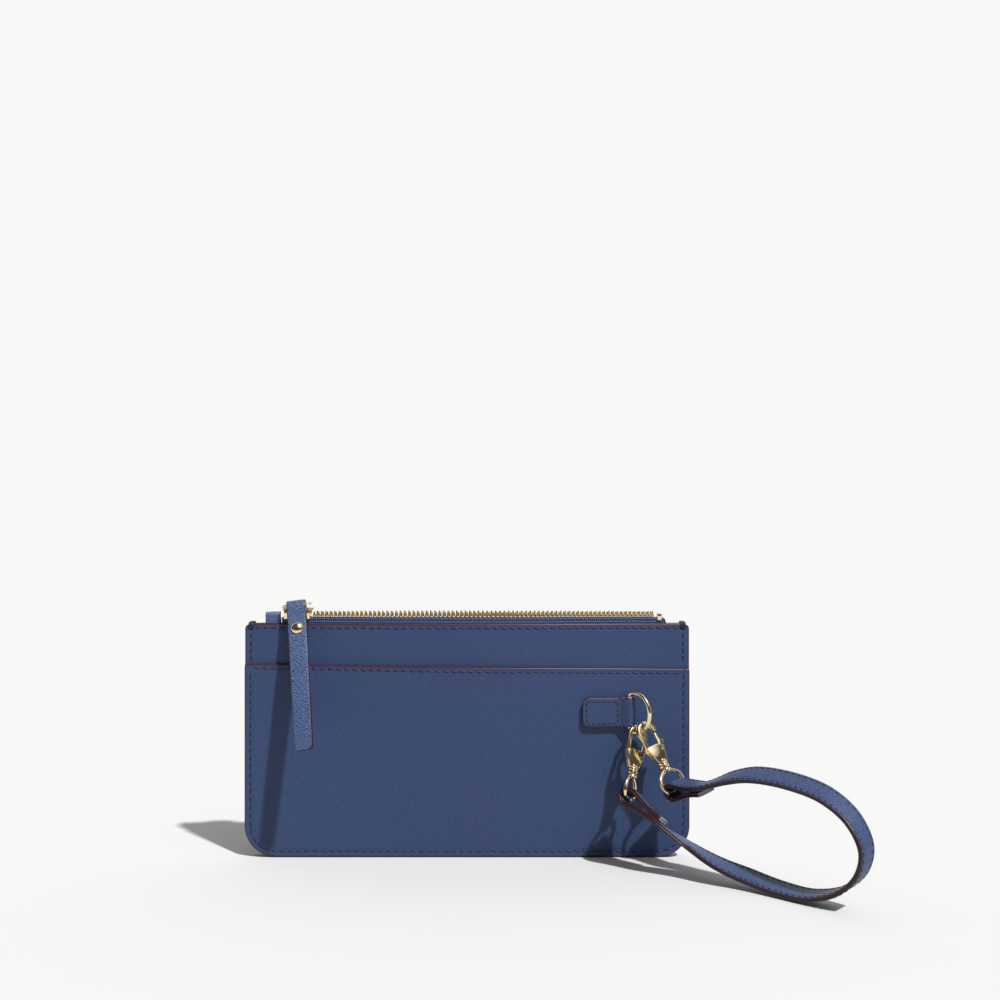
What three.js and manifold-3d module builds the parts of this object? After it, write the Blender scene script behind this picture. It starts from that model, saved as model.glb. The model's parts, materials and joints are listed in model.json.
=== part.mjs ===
// A slim zip-top leather wristlet wallet, standing upright with its zip open.
// Millimetres, +Z up, front towards -Y. The origin is on the bottom edge of the back panel, at mid width.
import * as THREE from 'three';
import { mergeVertices } from 'three/addons/utils/BufferGeometryUtils.js';
import Module from 'manifold-3d';

const wasm = await Module();
wasm.setup();

// ---- driving dimensions ----
const WIDTH = 212;
const HEIGHT = 111;
const BOTTOM_RADIUS = 15;
const TOP_RADIUS = 2.5;
const LEATHER = 1.3;
const TAPE = 0.5;
const LINING = 0.5;
const PLY_GAP = 0.3;
const FIT = 0.3; // clearance between pieces that move or are cut around each other

const MOUTH_HALF = 92; // the mouth gapes between -MOUTH_HALF and +MOUTH_HALF
const MOUTH_BOW = 3.6; // how far each wall bows out at mid width, at the top
const POCKET_TOP_LEFT = 92;
const POCKET_TOP_RIGHT = 89.5;
const POCKET_GAPE = 1.2;
const LINING_TOP = 108.5;
const LINING_BOTTOM = 4;

const TAPE_BOTTOM = 101;
const TAPE_TOP = 113.9;
const TAPE_LEFT = -88.6;
const TAPE_RIGHT = 95;
const TOOTH_PITCH = 2.09;
const TOOTH_COUNT = 78;
const TOOTH_WIDTH = 1.2;
const TOOTH_THICKNESS = 1.9;
const TEETH_LEFT = -73.7;
const TEETH_TOP = 116.7;
const TEETH_ROOT = 0.9; // height of the strip that the teeth stand on

const SLIDER_X = -81;
const SLIDER_LENGTH = 15;
const SLIDER_TOP = 118.6;

const PULL_WIDTH = 9;
const PULL_THICKNESS = 1.5;
const PULL_LEAN = 22.5; // degrees out from vertical
const PULL_TILT = 6.3; // degrees to the side
const PULL_TWIST = 18; // degrees that the long leaf turns by, from its rivet to its lower end
const PULL_LENGTH = 70;
const RIVET_DROP = 12;

const TAB_LEFT = 55;
const TAB_BOTTOM = 62.6;
const TAB_HEIGHT = 13.6;
const TAB_CORNER = 3;
const RING_X = 77.2; // the D-ring's bar, in the tab's eye
const D_WIRE = 1.05; // wire radius
const D_HALF_HEIGHT = 9;
const D_STRAIGHT = 4.7;
const D_DEPTH = 12.2;
const D_SWING = 47; // degrees out from the wallet's face

const STRAP_WIDTH = 10;
const STRAP_PLY = 0.85;
const STRAP_PLY_GAP = 0.3;
const STRAP_STEPS = 3; // along each stretch between two stops of its route
const EYE_DROP = 31; // from the D-ring wire to the strap's crossbar
const EYE_HALF = 6.2;
const EYE_WIRE = 0.9; // wire radius

const THREAD = 0.5;
const THREAD_HEIGHT = 0.25;
const THREAD_LIFT = 0.15; // clears the flat facets of a bowed wall
const STITCH_INSET = 2.9;

const NAVY = 0x2b4076;
const MAROON = 0x3c1a26;
const LINING_COLOUR = 0x1d2a4d;
const THREAD_COLOUR = 0x16203f;
const GOLD = 0xd9b878;
const STEEL = 0xb9bcc2;

const rad = THREE.MathUtils.degToRad;
const V = (x, y, z) => new THREE.Vector3(x, y, z);

// ---- layers, as distances from the mouth's middle plane ----
const INNER = 0.2;
const TAPE_AT = INNER + LINING + PLY_GAP;
const PANEL_AT = TAPE_AT + TAPE + PLY_GAP;
const POCKET_AT = PANEL_AT + LEATHER + PLY_GAP;
const MIDDLE_Y = -(PANEL_AT + LEATHER / 2);
const FRONT_FACE_Y = MIDDLE_Y - POCKET_AT - LEATHER; // the pocket's outer face, where it isn't bowed

// ---- solids ----
function toSolid(geometry) {
  const bare = geometry.clone();
  bare.deleteAttribute('normal');
  bare.deleteAttribute('uv');
  const merged = mergeVertices(bare, 1e-4);
  return new wasm.Manifold(new wasm.Mesh({
    numProp: 3,
    vertProperties: new Float32Array(merged.attributes.position.array),
    triVerts: new Uint32Array(merged.index.array),
  }));
}

function toGeometry(solid) {
  const mesh = solid.getMesh();
  const geometry = new THREE.BufferGeometry();
  geometry.setAttribute('position', new THREE.BufferAttribute(mesh.vertProperties, 3));
  geometry.setIndex(new THREE.BufferAttribute(mesh.triVerts, 1));
  geometry.computeVertexNormals();
  return geometry;
}

const join = (...pieces) => toGeometry(pieces.map(toSolid).reduce((a, b) => a.add(b)));
const cut = (piece, ...tools) => toGeometry(
  tools.map(toSolid).reduce((a, b) => a.subtract(b), toSolid(piece)),
);
const keepInside = (piece, form) => toGeometry(toSolid(piece).intersect(toSolid(form)));

const box = (low, high) => new THREE.BoxGeometry(high[0] - low[0], high[1] - low[1], high[2] - low[2])
  .translate((low[0] + high[0]) / 2, (low[1] + high[1]) / 2, (low[2] + high[2]) / 2);

// An outline drawn in X and Z, thickened along Y between nearY and farY.
function plate(shape, nearY, farY, curveSegments = 6) {
  const depth = farY - nearY;
  const geometry = new THREE.ExtrudeGeometry(shape, { depth, bevelEnabled: false, curveSegments });
  return geometry.rotateX(Math.PI / 2).translate(0, farY, 0);
}

// Moves every vertex of a geometry by a function of its place.
function reshape(geometry, move) {
  const position = geometry.attributes.position;
  const point = new THREE.Vector3();
  for (let i = 0; i < position.count; i += 1) {
    point.fromBufferAttribute(position, i);
    move(point);
    position.setXYZ(i, point.x, point.y, point.z);
  }
  return geometry;
}

function wire(points, radius, steps, sides = 8) {
  const section = new THREE.Shape();
  for (let i = 0; i < sides; i += 1) {
    const angle = 2 * Math.PI * i / sides;
    section[i ? 'lineTo' : 'moveTo'](radius * Math.cos(angle), radius * Math.sin(angle));
  }
  const path = new THREE.CatmullRomCurve3(points, false, 'centripetal');
  return new THREE.ExtrudeGeometry(section, { steps, bevelEnabled: false, extrudePath: path });
}

function rod(from, to, radius, sides = 10) {
  const length = from.distanceTo(to);
  const turn = new THREE.Quaternion().setFromUnitVectors(V(0, 1, 0), to.clone().sub(from).normalize());
  const middle = from.clone().add(to).multiplyScalar(0.5);
  return new THREE.CylinderGeometry(radius, radius, length, sides)
    .applyQuaternion(turn).translate(middle.x, middle.y, middle.z);
}

// A flat band that follows a route of stops, each a place with the direction of the band's width.
// Every stretch between two stops gets the same number of steps, so close stops make a fine bend.
function band(route, { width, low, high, steps, across = 0, from = 0, to = route.length - 1 }) {
  const places = new THREE.CatmullRomCurve3(route.map((stop) => stop.at), false, 'centripetal');
  const sides = new THREE.CatmullRomCurve3(route.map((stop) => stop.side), false, 'centripetal');
  const geometry = new THREE.BoxGeometry(1, width, high - low, steps, width > 2 ? 2 : 1, 1);
  return reshape(geometry, (point) => {
    const t = THREE.MathUtils.clamp((from + (to - from) * (point.x + 0.5)) / (route.length - 1), 0, 1);
    const along = places.getTangent(t);
    const side = sides.getPoint(t);
    side.addScaledVector(along, -side.dot(along)).normalize();
    const out = along.clone().cross(side);
    const { y, z } = point;
    point.copy(places.getPoint(t))
      .addScaledVector(side, y + across)
      .addScaledVector(out, z + (low + high) / 2);
  });
}

// ---- the wallet's walls ----
const gape = (x) => (Math.abs(x) < MOUTH_HALF ? Math.cos(Math.PI * x / (2 * MOUTH_HALF)) ** 2 : 0);
const rise = (z) => Math.sin(Math.PI / 2 * THREE.MathUtils.clamp(z / HEIGHT, 0, 1));
const wallBow = (x, z) => MOUTH_BOW * gape(x) * rise(z);
const pocketRise = (z) => THREE.MathUtils.clamp(z / POCKET_TOP_LEFT, 0, 1) ** 2;
const pocketBow = (x, z) => wallBow(x, z) + POCKET_GAPE * gape(x) * pocketRise(z);

function roundedOutline({ left, right, bottom, topLeft, topRight, lowRadius, highRadius }) {
  const shape = new THREE.Shape();
  shape.moveTo(left + lowRadius, bottom);
  shape.lineTo(right - lowRadius, bottom);
  if (lowRadius) shape.absarc(right - lowRadius, bottom + lowRadius, lowRadius, -Math.PI / 2, 0, false);
  shape.lineTo(right, topRight - highRadius);
  if (highRadius) shape.absarc(right - highRadius, topRight - highRadius, highRadius, 0, Math.PI / 2, false);
  shape.lineTo(left + highRadius, topLeft);
  if (highRadius) shape.absarc(left + highRadius, topLeft - highRadius, highRadius, Math.PI / 2, Math.PI, false);
  shape.lineTo(left, bottom + lowRadius);
  if (lowRadius) shape.absarc(left + lowRadius, bottom + lowRadius, lowRadius, Math.PI, Math.PI * 1.5, false);
  return shape;
}

// A sheet of the wall: flat stock with an outline, bowed away from the mouth.
// facing is -1 in front, 1 behind.
function wallSheet({ outline, at, thickness, facing, bow = wallBow, columns = 16, rows = 5 }) {
  const margin = 1;
  const bounds = new THREE.Box2().setFromPoints(outline.getPoints(4));
  const width = bounds.max.x - bounds.min.x + 2 * margin;
  const height = bounds.max.y - bounds.min.y + 2 * margin;
  const stock = new THREE.BoxGeometry(width, thickness, height, columns, 1, rows);
  stock.translate((bounds.min.x + bounds.max.x) / 2, 0, (bounds.min.y + bounds.max.y) / 2);
  reshape(stock, (point) => {
    point.y += MIDDLE_Y + facing * (at + thickness / 2 + bow(point.x, point.z));
  });
  return keepInside(stock, plate(outline, -40, 40));
}

const bodyOutline = (topLeft, topRight, highRadius) => roundedOutline({
  left: -WIDTH / 2, right: WIDTH / 2, bottom: 0, topLeft, topRight, lowRadius: BOTTOM_RADIUS, highRadius,
});

const panel = (facing) => wallSheet({
  outline: bodyOutline(HEIGHT, HEIGHT, TOP_RADIUS), at: PANEL_AT, thickness: LEATHER, facing,
});

const pocket = () => wallSheet({
  outline: bodyOutline(POCKET_TOP_LEFT, POCKET_TOP_RIGHT, 0),
  at: POCKET_AT,
  thickness: LEATHER,
  facing: -1,
  bow: pocketBow,
});

const lining = (facing) => wallSheet({
  outline: roundedOutline({
    left: -WIDTH / 2 + 2,
    right: WIDTH / 2 - 2,
    bottom: LINING_BOTTOM,
    topLeft: LINING_TOP,
    topRight: LINING_TOP,
    lowRadius: BOTTOM_RADIUS - 2,
    highRadius: 0,
  }),
  at: INNER,
  thickness: LINING,
  facing,
  columns: 12,
  rows: 4,
});

// ---- the zip ----
const zipTape = (facing) => wallSheet({
  outline: roundedOutline({
    left: TAPE_LEFT,
    right: TAPE_RIGHT,
    bottom: TAPE_BOTTOM,
    topLeft: TAPE_TOP,
    topRight: TAPE_TOP,
    lowRadius: 0,
    highRadius: 2,
  }),
  at: TAPE_AT,
  thickness: TAPE,
  facing,
  rows: 2,
});

// One row of teeth, cut as a comb; the back row is half a pitch along, so that the rows mesh.
function teethRow(facing) {
  const comb = new THREE.Shape();
  const bottom = TAPE_TOP + FIT;
  const left = TEETH_LEFT + (facing > 0 ? TOOTH_PITCH / 2 : 0);
  comb.moveTo(left, bottom);
  comb.lineTo(left + TOOTH_COUNT * TOOTH_PITCH, bottom);
  for (let i = TOOTH_COUNT - 1; i >= 0; i -= 1) {
    const toothLeft = left + i * TOOTH_PITCH;
    comb.lineTo(toothLeft + TOOTH_PITCH, bottom + TEETH_ROOT);
    comb.lineTo(toothLeft + TOOTH_WIDTH, bottom + TEETH_ROOT);
    comb.lineTo(toothLeft + TOOTH_WIDTH, TEETH_TOP);
    comb.lineTo(toothLeft, TEETH_TOP);
  }
  comb.closePath();
  const middle = TAPE_AT + TAPE / 2;
  return reshape(plate(comb, -TOOTH_THICKNESS / 2, TOOTH_THICKNESS / 2), (point) => {
    point.y += MIDDLE_Y + facing * (middle + wallBow(point.x, HEIGHT));
  });
}

function topStop(facing) {
  const x = TEETH_LEFT + (TOOTH_COUNT + 0.75) * TOOTH_PITCH;
  const y = MIDDLE_Y + facing * (TAPE_AT + TAPE / 2);
  const half = TOOTH_THICKNESS / 2;
  return box([x, y - half, TAPE_TOP + FIT], [x + 2.2, y + half, TEETH_TOP]);
}

const STOP_LEFT = -90.6;
const STOP_HALF = 1;
const bottomStop = () => box(
  [STOP_LEFT, MIDDLE_Y - STOP_HALF, 113],
  [STOP_LEFT + 1.4, MIDDLE_Y + STOP_HALF, TEETH_TOP - 0.4],
);

// The cloth end of the zip, folded round the bottom stop.
function startTab() {
  const top = 116.5;
  const half = 1.9;
  const outline = roundedOutline({
    left: -96.5, right: -89.3, bottom: HEIGHT + 0.5, topLeft: top, topRight: top, lowRadius: 0, highRadius: 2,
  });
  const slotHalf = STOP_HALF + FIT;
  const slot = box([STOP_LEFT - FIT, MIDDLE_Y - slotHalf, HEIGHT], [-88, MIDDLE_Y + slotHalf, top + 1]);
  return cut(plate(outline, MIDDLE_Y - half, MIDDLE_Y + half, 3), slot);
}

// ---- the slider and its pull ----
function sliderBody() {
  const half = SLIDER_LENGTH / 2;
  const narrow = 2.9;
  const wide = 3.8;
  const top = new THREE.Shape();
  top.moveTo(-half + 1, -narrow);
  top.lineTo(half - 4, -wide);
  top.lineTo(half - 1.5, -wide);
  top.lineTo(half, -wide + 1.8);
  top.lineTo(half, wide - 1.8);
  top.lineTo(half - 1.5, wide);
  top.lineTo(half - 4, wide);
  top.lineTo(-half + 1, narrow);
  top.lineTo(-half, narrow - 1);
  top.lineTo(-half, -narrow + 1);
  const thickness = 1.1;
  const cover = new THREE.ExtrudeGeometry(top, { depth: thickness, bevelEnabled: false });
  cover.translate(0, 0, SLIDER_TOP - thickness);
  const under = SLIDER_TOP - thickness / 2;
  const foot = 113.2;
  const flangeOuter = 3.2;
  const flangeInner = flangeOuter - 0.8;
  const flange = (side) => box(
    [-half + 1, Math.min(side * flangeInner, side * flangeOuter), foot],
    [half - 1.6, Math.max(side * flangeInner, side * flangeOuter), under],
  );
  const dividerHalf = TAPE_AT - FIT;
  const divider = box([half - 5, -dividerHalf, foot - 0.6], [half - 1, dividerHalf, under]);
  const sole = box([-half + 1.5, -dividerHalf, foot - 0.8], [half - 1, dividerHalf, foot + 0.3]);
  return join(cover, flange(-1), flange(1), divider, sole).translate(SLIDER_X, MIDDLE_Y, 0);
}

// The arch on the slider, open along X, that holds the pull's link.
function sliderBail() {
  const arch = new THREE.Shape();
  const foot = SLIDER_TOP + FIT;
  arch.moveTo(-2.9, foot);
  arch.lineTo(-2.9, foot + 1.2);
  arch.absarc(-1.2, foot + 1.2, 1.7, Math.PI, Math.PI / 2, true);
  arch.lineTo(1.2, foot + 2.9);
  arch.absarc(1.2, foot + 1.2, 1.7, Math.PI / 2, 0, true);
  arch.lineTo(2.9, foot);
  arch.lineTo(2, foot);
  arch.lineTo(2, foot + 1);
  arch.lineTo(1, foot + 2);
  arch.lineTo(-1, foot + 2);
  arch.lineTo(-2, foot + 1);
  arch.lineTo(-2, foot);
  return plate(arch, -1.5, 1.5, 4).rotateZ(Math.PI / 2).translate(SLIDER_X, MIDDLE_Y, 0);
}

// The pull's own directions: down along it, across it, and out from its face.
const PULL_DOWN = V(
  Math.sin(rad(PULL_TILT)),
  -Math.sin(rad(PULL_LEAN)),
  -Math.cos(rad(PULL_LEAN)),
).normalize();
const PULL_SIDE = V(-PULL_DOWN.z, 0, PULL_DOWN.x).normalize();
const PULL_OUT = PULL_DOWN.clone().cross(PULL_SIDE).normalize();

const LINK_WIRE = 0.55;
const LINK_HALF = 6.5;
const LINK_BACK = V(SLIDER_X, MIDDLE_Y + 0.4, SLIDER_TOP + FIT + 0.95);
const LINK_FRONT = V(SLIDER_X, MIDDLE_Y - 6.2, 120.2);

function pullLink() {
  const at = (x, along) => LINK_BACK.clone().lerp(LINK_FRONT, along).addScaledVector(PULL_SIDE, x);
  const half = [[1, 0], [0, 0.15], [0, 0.85], [1, 1], [2, 1]];
  const left = half.map(([inset, along]) => at(inset - LINK_HALF, along));
  const right = half.map(([inset, along]) => at(LINK_HALF - inset, along)).reverse();
  const hoop = wire([...left, ...right], LINK_WIRE, 28, 6);
  const bar = rod(at(-LINK_HALF + 0.7, 0), at(LINK_HALF - 0.7, 0), LINK_WIRE, 8);
  return join(hoop, bar);
}

const pullAt = (down, out) => LINK_FRONT.clone()
  .addScaledVector(PULL_DOWN, down)
  .addScaledVector(PULL_OUT, out);

// How far the long front leaf has turned at a distance down it.
const pullTurn = (down) => rad(PULL_TWIST) * Math.max(0, down - RIVET_DROP) / (PULL_LENGTH - RIVET_DROP);

// The strip runs from the end of its short rear leaf, over the link, to the end of its long front leaf.
function pullRoute() {
  const leaf = (PULL_THICKNESS + FIT) / 2;
  const fold = LINK_WIRE + 1.5 * FIT + PULL_THICKNESS / 2;
  const stops = [
    [RIVET_DROP + 5, -leaf], [RIVET_DROP, -leaf], [5, -leaf - 0.3], [0.5, -fold], [-fold, 0],
    [0.5, fold], [5, leaf + 0.3], [RIVET_DROP, leaf], [RIVET_DROP + 20, leaf], [PULL_LENGTH, leaf],
  ];
  return stops.map(([down, out]) => ({
    at: pullAt(down, out),
    side: PULL_SIDE.clone().applyAxisAngle(PULL_DOWN, out > 0 ? pullTurn(down) : 0),
  }));
}

function turned(profile, from, direction, segments = 14) {
  const turn = new THREE.Quaternion().setFromUnitVectors(V(0, 1, 0), direction);
  return new THREE.LatheGeometry(profile.map(([r, h]) => new THREE.Vector2(r, h)), segments)
    .applyQuaternion(turn).translate(from.x, from.y, from.z);
}

function pullStrip() {
  const strip = band(pullRoute(), {
    width: PULL_WIDTH, low: -PULL_THICKNESS / 2, high: PULL_THICKNESS / 2, steps: 40,
  });
  return cut(strip, rod(pullAt(RIVET_DROP, -4), pullAt(RIVET_DROP, 4), 1.3, 12));
}

const RIVET_FACE = PULL_THICKNESS + FIT / 2;
const rivetCap = () => turned(
  [[0, -2 * RIVET_FACE], [1, -2 * RIVET_FACE], [1, FIT], [2.8, FIT], [2.6, 0.9], [1.6, 1.4], [0, 1.6]],
  pullAt(RIVET_DROP, RIVET_FACE),
  PULL_OUT,
);
const rivetBack = () => turned(
  [[0, -FIT - 0.8], [2.4, -FIT - 0.8], [2.6, -FIT], [1.3, -FIT], [0, -FIT]],
  pullAt(RIVET_DROP, -RIVET_FACE),
  PULL_OUT,
);

// ---- the tab and its D-ring ----
const LOOP_INNER = D_WIRE + 0.25;
const LOOP_OUTER = LOOP_INNER + 1.05;
const TAB_FACE_Y = FRONT_FACE_Y - 0.6;
const D_BAR = V(RING_X, TAB_FACE_Y - LOOP_OUTER, TAB_BOTTOM + TAB_HEIGHT / 2);
const D_OUT = V(Math.cos(rad(D_SWING)), -Math.sin(rad(D_SWING)), 0);

// The tab lies on the bowed pocket, but its eye keeps its shape.
const followPocket = (geometry) => reshape(geometry, (point) => {
  point.y -= Math.max(0, pocketBow(point.x, D_BAR.z) - 0.3);
});

// Seen from above: two leaves that close into an eye round the ring's bar.
function tab() {
  const leaf = LOOP_OUTER - LOOP_INNER;
  const front = new THREE.Shape();
  const neck = LOOP_OUTER + 2;
  front.moveTo(TAB_LEFT, TAB_FACE_Y);
  front.lineTo(D_BAR.x - neck, TAB_FACE_Y);
  front.lineTo(D_BAR.x, TAB_FACE_Y);
  front.absarc(D_BAR.x, D_BAR.y, LOOP_OUTER, Math.PI / 2, -Math.PI / 2, true);
  front.lineTo(D_BAR.x - neck, TAB_FACE_Y - 2 * leaf - 0.4);
  front.lineTo(TAB_LEFT, TAB_FACE_Y - 2 * leaf - 0.2);
  front.lineTo(TAB_LEFT, TAB_FACE_Y - leaf - 0.2);
  front.lineTo(D_BAR.x - neck, TAB_FACE_Y - leaf - 0.2);
  front.lineTo(D_BAR.x, D_BAR.y - LOOP_INNER);
  front.absarc(D_BAR.x, D_BAR.y, LOOP_INNER, -Math.PI / 2, Math.PI / 2, false);
  front.lineTo(D_BAR.x - neck, TAB_FACE_Y - leaf);
  front.lineTo(TAB_LEFT, TAB_FACE_Y - leaf);
  const folded = new THREE.ExtrudeGeometry(front, {
    depth: TAB_HEIGHT, bevelEnabled: false, curveSegments: 8,
  });
  followPocket(folded.translate(0, 0, TAB_BOTTOM));
  const outline = new THREE.Shape();
  const top = TAB_BOTTOM + TAB_HEIGHT;
  outline.moveTo(TAB_LEFT + TAB_CORNER, TAB_BOTTOM);
  outline.lineTo(90, TAB_BOTTOM);
  outline.lineTo(90, top);
  outline.lineTo(TAB_LEFT + TAB_CORNER, top);
  outline.absarc(TAB_LEFT + TAB_CORNER, top - TAB_CORNER, TAB_CORNER, Math.PI / 2, Math.PI, false);
  outline.lineTo(TAB_LEFT, TAB_BOTTOM + TAB_CORNER);
  outline.absarc(TAB_LEFT + TAB_CORNER, TAB_BOTTOM + TAB_CORNER, TAB_CORNER, Math.PI, Math.PI * 1.5, false);
  return keepInside(folded, plate(outline, -40, 0, 4));
}

const dAt = (out, up) => D_BAR.clone().addScaledVector(D_OUT, out).add(V(0, 0, up));

function dRing() {
  const bow = [];
  const steps = 8;
  for (let i = 0; i <= steps; i += 1) {
    const angle = Math.PI / 2 - Math.PI * i / steps;
    bow.push(dAt(D_STRAIGHT + (D_DEPTH - D_STRAIGHT) * Math.cos(angle), D_HALF_HEIGHT * Math.sin(angle)));
  }
  const corner = 1;
  const hoop = wire([
    dAt(0, D_HALF_HEIGHT - corner),
    dAt(corner, D_HALF_HEIGHT),
    ...bow,
    dAt(corner, -D_HALF_HEIGHT),
    dAt(0, corner - D_HALF_HEIGHT),
  ], D_WIRE, 36, 8);
  return join(hoop, rod(dAt(0, D_HALF_HEIGHT - 0.6), dAt(0, 0.6 - D_HALF_HEIGHT), D_WIRE, 10));
}

// ---- the swivel clasps ----
// A clasp hangs from a place on the D-ring's wire, along down, with its flat side facing out.
// Its own drawing has u across, v up along it from the wire's centre, and w through its thickness.
function claspFrame(at, down, facing) {
  const up = down.clone().negate().normalize();
  const out = facing.clone().addScaledVector(up, -facing.dot(up)).normalize();
  const across = up.clone().cross(out).normalize();
  const place = new THREE.Matrix4().makeBasis(across, up, out).setPosition(at);
  return { place, up, out, across, point: (u, v, w) => V(u, v, w).applyMatrix4(place) };
}

const CLASP_A = claspFrame(dAt(5, -D_HALF_HEIGHT), V(-0.17, -0.4, -0.9), V(0.35, -0.93, 0));
const CLASP_B = claspFrame(dAt(9.4, -6.8), V(0.44, -0.26, -0.86), V(0.35, -0.8, 0.48));

const HOOK_INNER = 3.15;
const HOOK_OUTER = 5;
const HOOK_CENTRE = -1.6;
const HOOK_HALF = 1.15;
const BASE_HALF = 1.7;
const BASE_TOP = -9;
const BASE_END = -17;
const GATE_PIVOT = [2.7, -11.6];
const GATE_HALF = 0.6;
const PIN_RADIUS = 0.45;
const POST_RADIUS = 0.9;
const NECK_TOP = -20.2;

const slab = (shape, half, segments = 8) => new THREE.ExtrudeGeometry(shape, {
  depth: 2 * half, bevelEnabled: false, curveSegments: segments,
}).translate(0, 0, -half);

// A turned piece whose axis runs along the clasp.
const spun = (profile, segments = 12) => new THREE.LatheGeometry(
  profile.map(([r, v]) => new THREE.Vector2(r, v)),
  segments,
);

function hookBody() {
  const tip = rad(-14);
  const hook = new THREE.Shape();
  hook.moveTo(-HOOK_OUTER, BASE_TOP - 1);
  hook.lineTo(-HOOK_OUTER, HOOK_CENTRE);
  hook.absarc(0, HOOK_CENTRE, HOOK_OUTER, Math.PI, tip, true);
  hook.absarc(0, HOOK_CENTRE, HOOK_INNER, tip, Math.PI, false);
  hook.lineTo(-HOOK_INNER, BASE_TOP - 1);
  const base = new THREE.Shape();
  base.moveTo(-HOOK_OUTER, BASE_TOP);
  base.lineTo(-2.4, BASE_END);
  base.lineTo(2.4, BASE_END);
  base.lineTo(4.4, BASE_TOP - 1.2);
  base.lineTo(1.2, BASE_TOP + 0.6);
  base.lineTo(-HOOK_INNER, BASE_TOP + 0.6);
  const collar = spun([
    [0, -19.9], [2.5, -19.9], [2.5, -18.6], [2.1, -17.8], [2.5, -17], [2.2, -16], [0, -16],
  ]);
  const gateSlot = box([1, -13.2, -GATE_HALF - FIT], [7, -7, GATE_HALF + FIT]);
  const springPocket = box([-1.4, -10.4, -GATE_HALF - FIT], [2, -8.9, GATE_HALF + FIT]);
  const pinHole = rod(V(...GATE_PIVOT, -3), V(...GATE_PIVOT, 3), PIN_RADIUS + FIT, 10);
  const bore = spun([[0, -21], [POST_RADIUS + FIT, -21], [POST_RADIUS + FIT, -15], [0, -15]]);
  const chamber = spun([[0, -15.6], [1.85, -15.6], [1.85, -13.8], [0, -13.8]]);
  const body = join(slab(hook, HOOK_HALF), slab(base, BASE_HALF), collar);
  return cut(body, gateSlot, springPocket, pinHole, bore, chamber);
}

function gate() {
  const lever = new THREE.Shape();
  lever.moveTo(1.7, -12.4);
  lever.lineTo(3.9, -12.4);
  lever.lineTo(4.5, -9.4);
  lever.lineTo(6, -8.6);
  lever.lineTo(6, -7.4);
  lever.lineTo(4.7, -6.8);
  lever.lineTo(4.3, -3.4);
  lever.lineTo(3.1, -3.2);
  lever.lineTo(2.9, -8.6);
  lever.lineTo(2, -9.2);
  return cut(slab(lever, GATE_HALF), rod(V(...GATE_PIVOT, -2), V(...GATE_PIVOT, 2), PIN_RADIUS + FIT, 10));
}

const gatePin = () => rod(V(...GATE_PIVOT, -BASE_HALF), V(...GATE_PIVOT, BASE_HALF), PIN_RADIUS, 10);

function gateSpring() {
  const turns = 3;
  const stepsPerTurn = 8;
  const length = 2.5;
  const coil = [];
  for (let i = 0; i <= turns * stepsPerTurn; i += 1) {
    const angle = 2 * Math.PI * i / stepsPerTurn;
    const u = -1 + length * i / (turns * stepsPerTurn);
    coil.push(V(u, -9.65 + 0.42 * Math.cos(angle), 0.42 * Math.sin(angle)));
  }
  return wire(coil, 0.14, turns * stepsPerTurn, 5);
}

// The post, its head and the wire eye that the strap folds round, turned about the clasp's axis.
function claspEye(angle) {
  const post = spun([
    [0, -22], [1.6, -22], [2.3, -21], [2.1, NECK_TOP], [POST_RADIUS, NECK_TOP], [POST_RADIUS, -15.2],
    [1.5, -15.2], [1.5, -14.2], [0, -14.2],
  ]);
  const side = [
    [0.6, -21], [3.6, -22.3], [EYE_HALF, -25], [EYE_HALF + 0.2, -29], [EYE_HALF - 1.4, -EYE_DROP],
  ];
  const left = side.map(([u, v]) => V(-u, v, 0));
  const right = side.map(([u, v]) => V(u, v, 0)).reverse();
  const eye = wire([...left, V(0, -EYE_DROP, 0), ...right], EYE_WIRE, 32, 7);
  return join(post, eye).rotateY(angle);
}

// ---- the wrist strap ----
// Each end folds round its clasp's crossbar and comes back along the strap's inner side.
const FOLD = 3.4;
const FOLD_STOPS = [
  [20, 1.25], [12, 1.4], [5, 2.7], [0.6, FOLD], [-FOLD + 0.2, 0],
  [0.6, -FOLD], [5, -2.7], [12, -1.6], [19.5, -1.4],
];

function crossbar(clasp, side) {
  const centre = clasp.point(0, -EYE_DROP, 0);
  const flat = side.clone().addScaledVector(clasp.up, -side.dot(clasp.up)).normalize();
  return { centre, side: flat, angle: Math.atan2(-flat.dot(clasp.out), flat.dot(clasp.across)) };
}

const BAR_A = crossbar(CLASP_A, V(0.405, 0.86, -0.42));
const BAR_B = crossbar(CLASP_B, V(0.72, 0.6, 0.3));

function foldRoute(bar, away, inward) {
  const out = away.clone().addScaledVector(bar.side, -away.dot(bar.side)).normalize();
  const inner = inward.clone()
    .addScaledVector(bar.side, -inward.dot(bar.side))
    .addScaledVector(out, -inward.dot(out))
    .normalize();
  return FOLD_STOPS.map(([along, across]) => ({
    at: bar.centre.clone().addScaledVector(out, along).addScaledVector(inner, across),
    side: bar.side,
  }));
}

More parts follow.
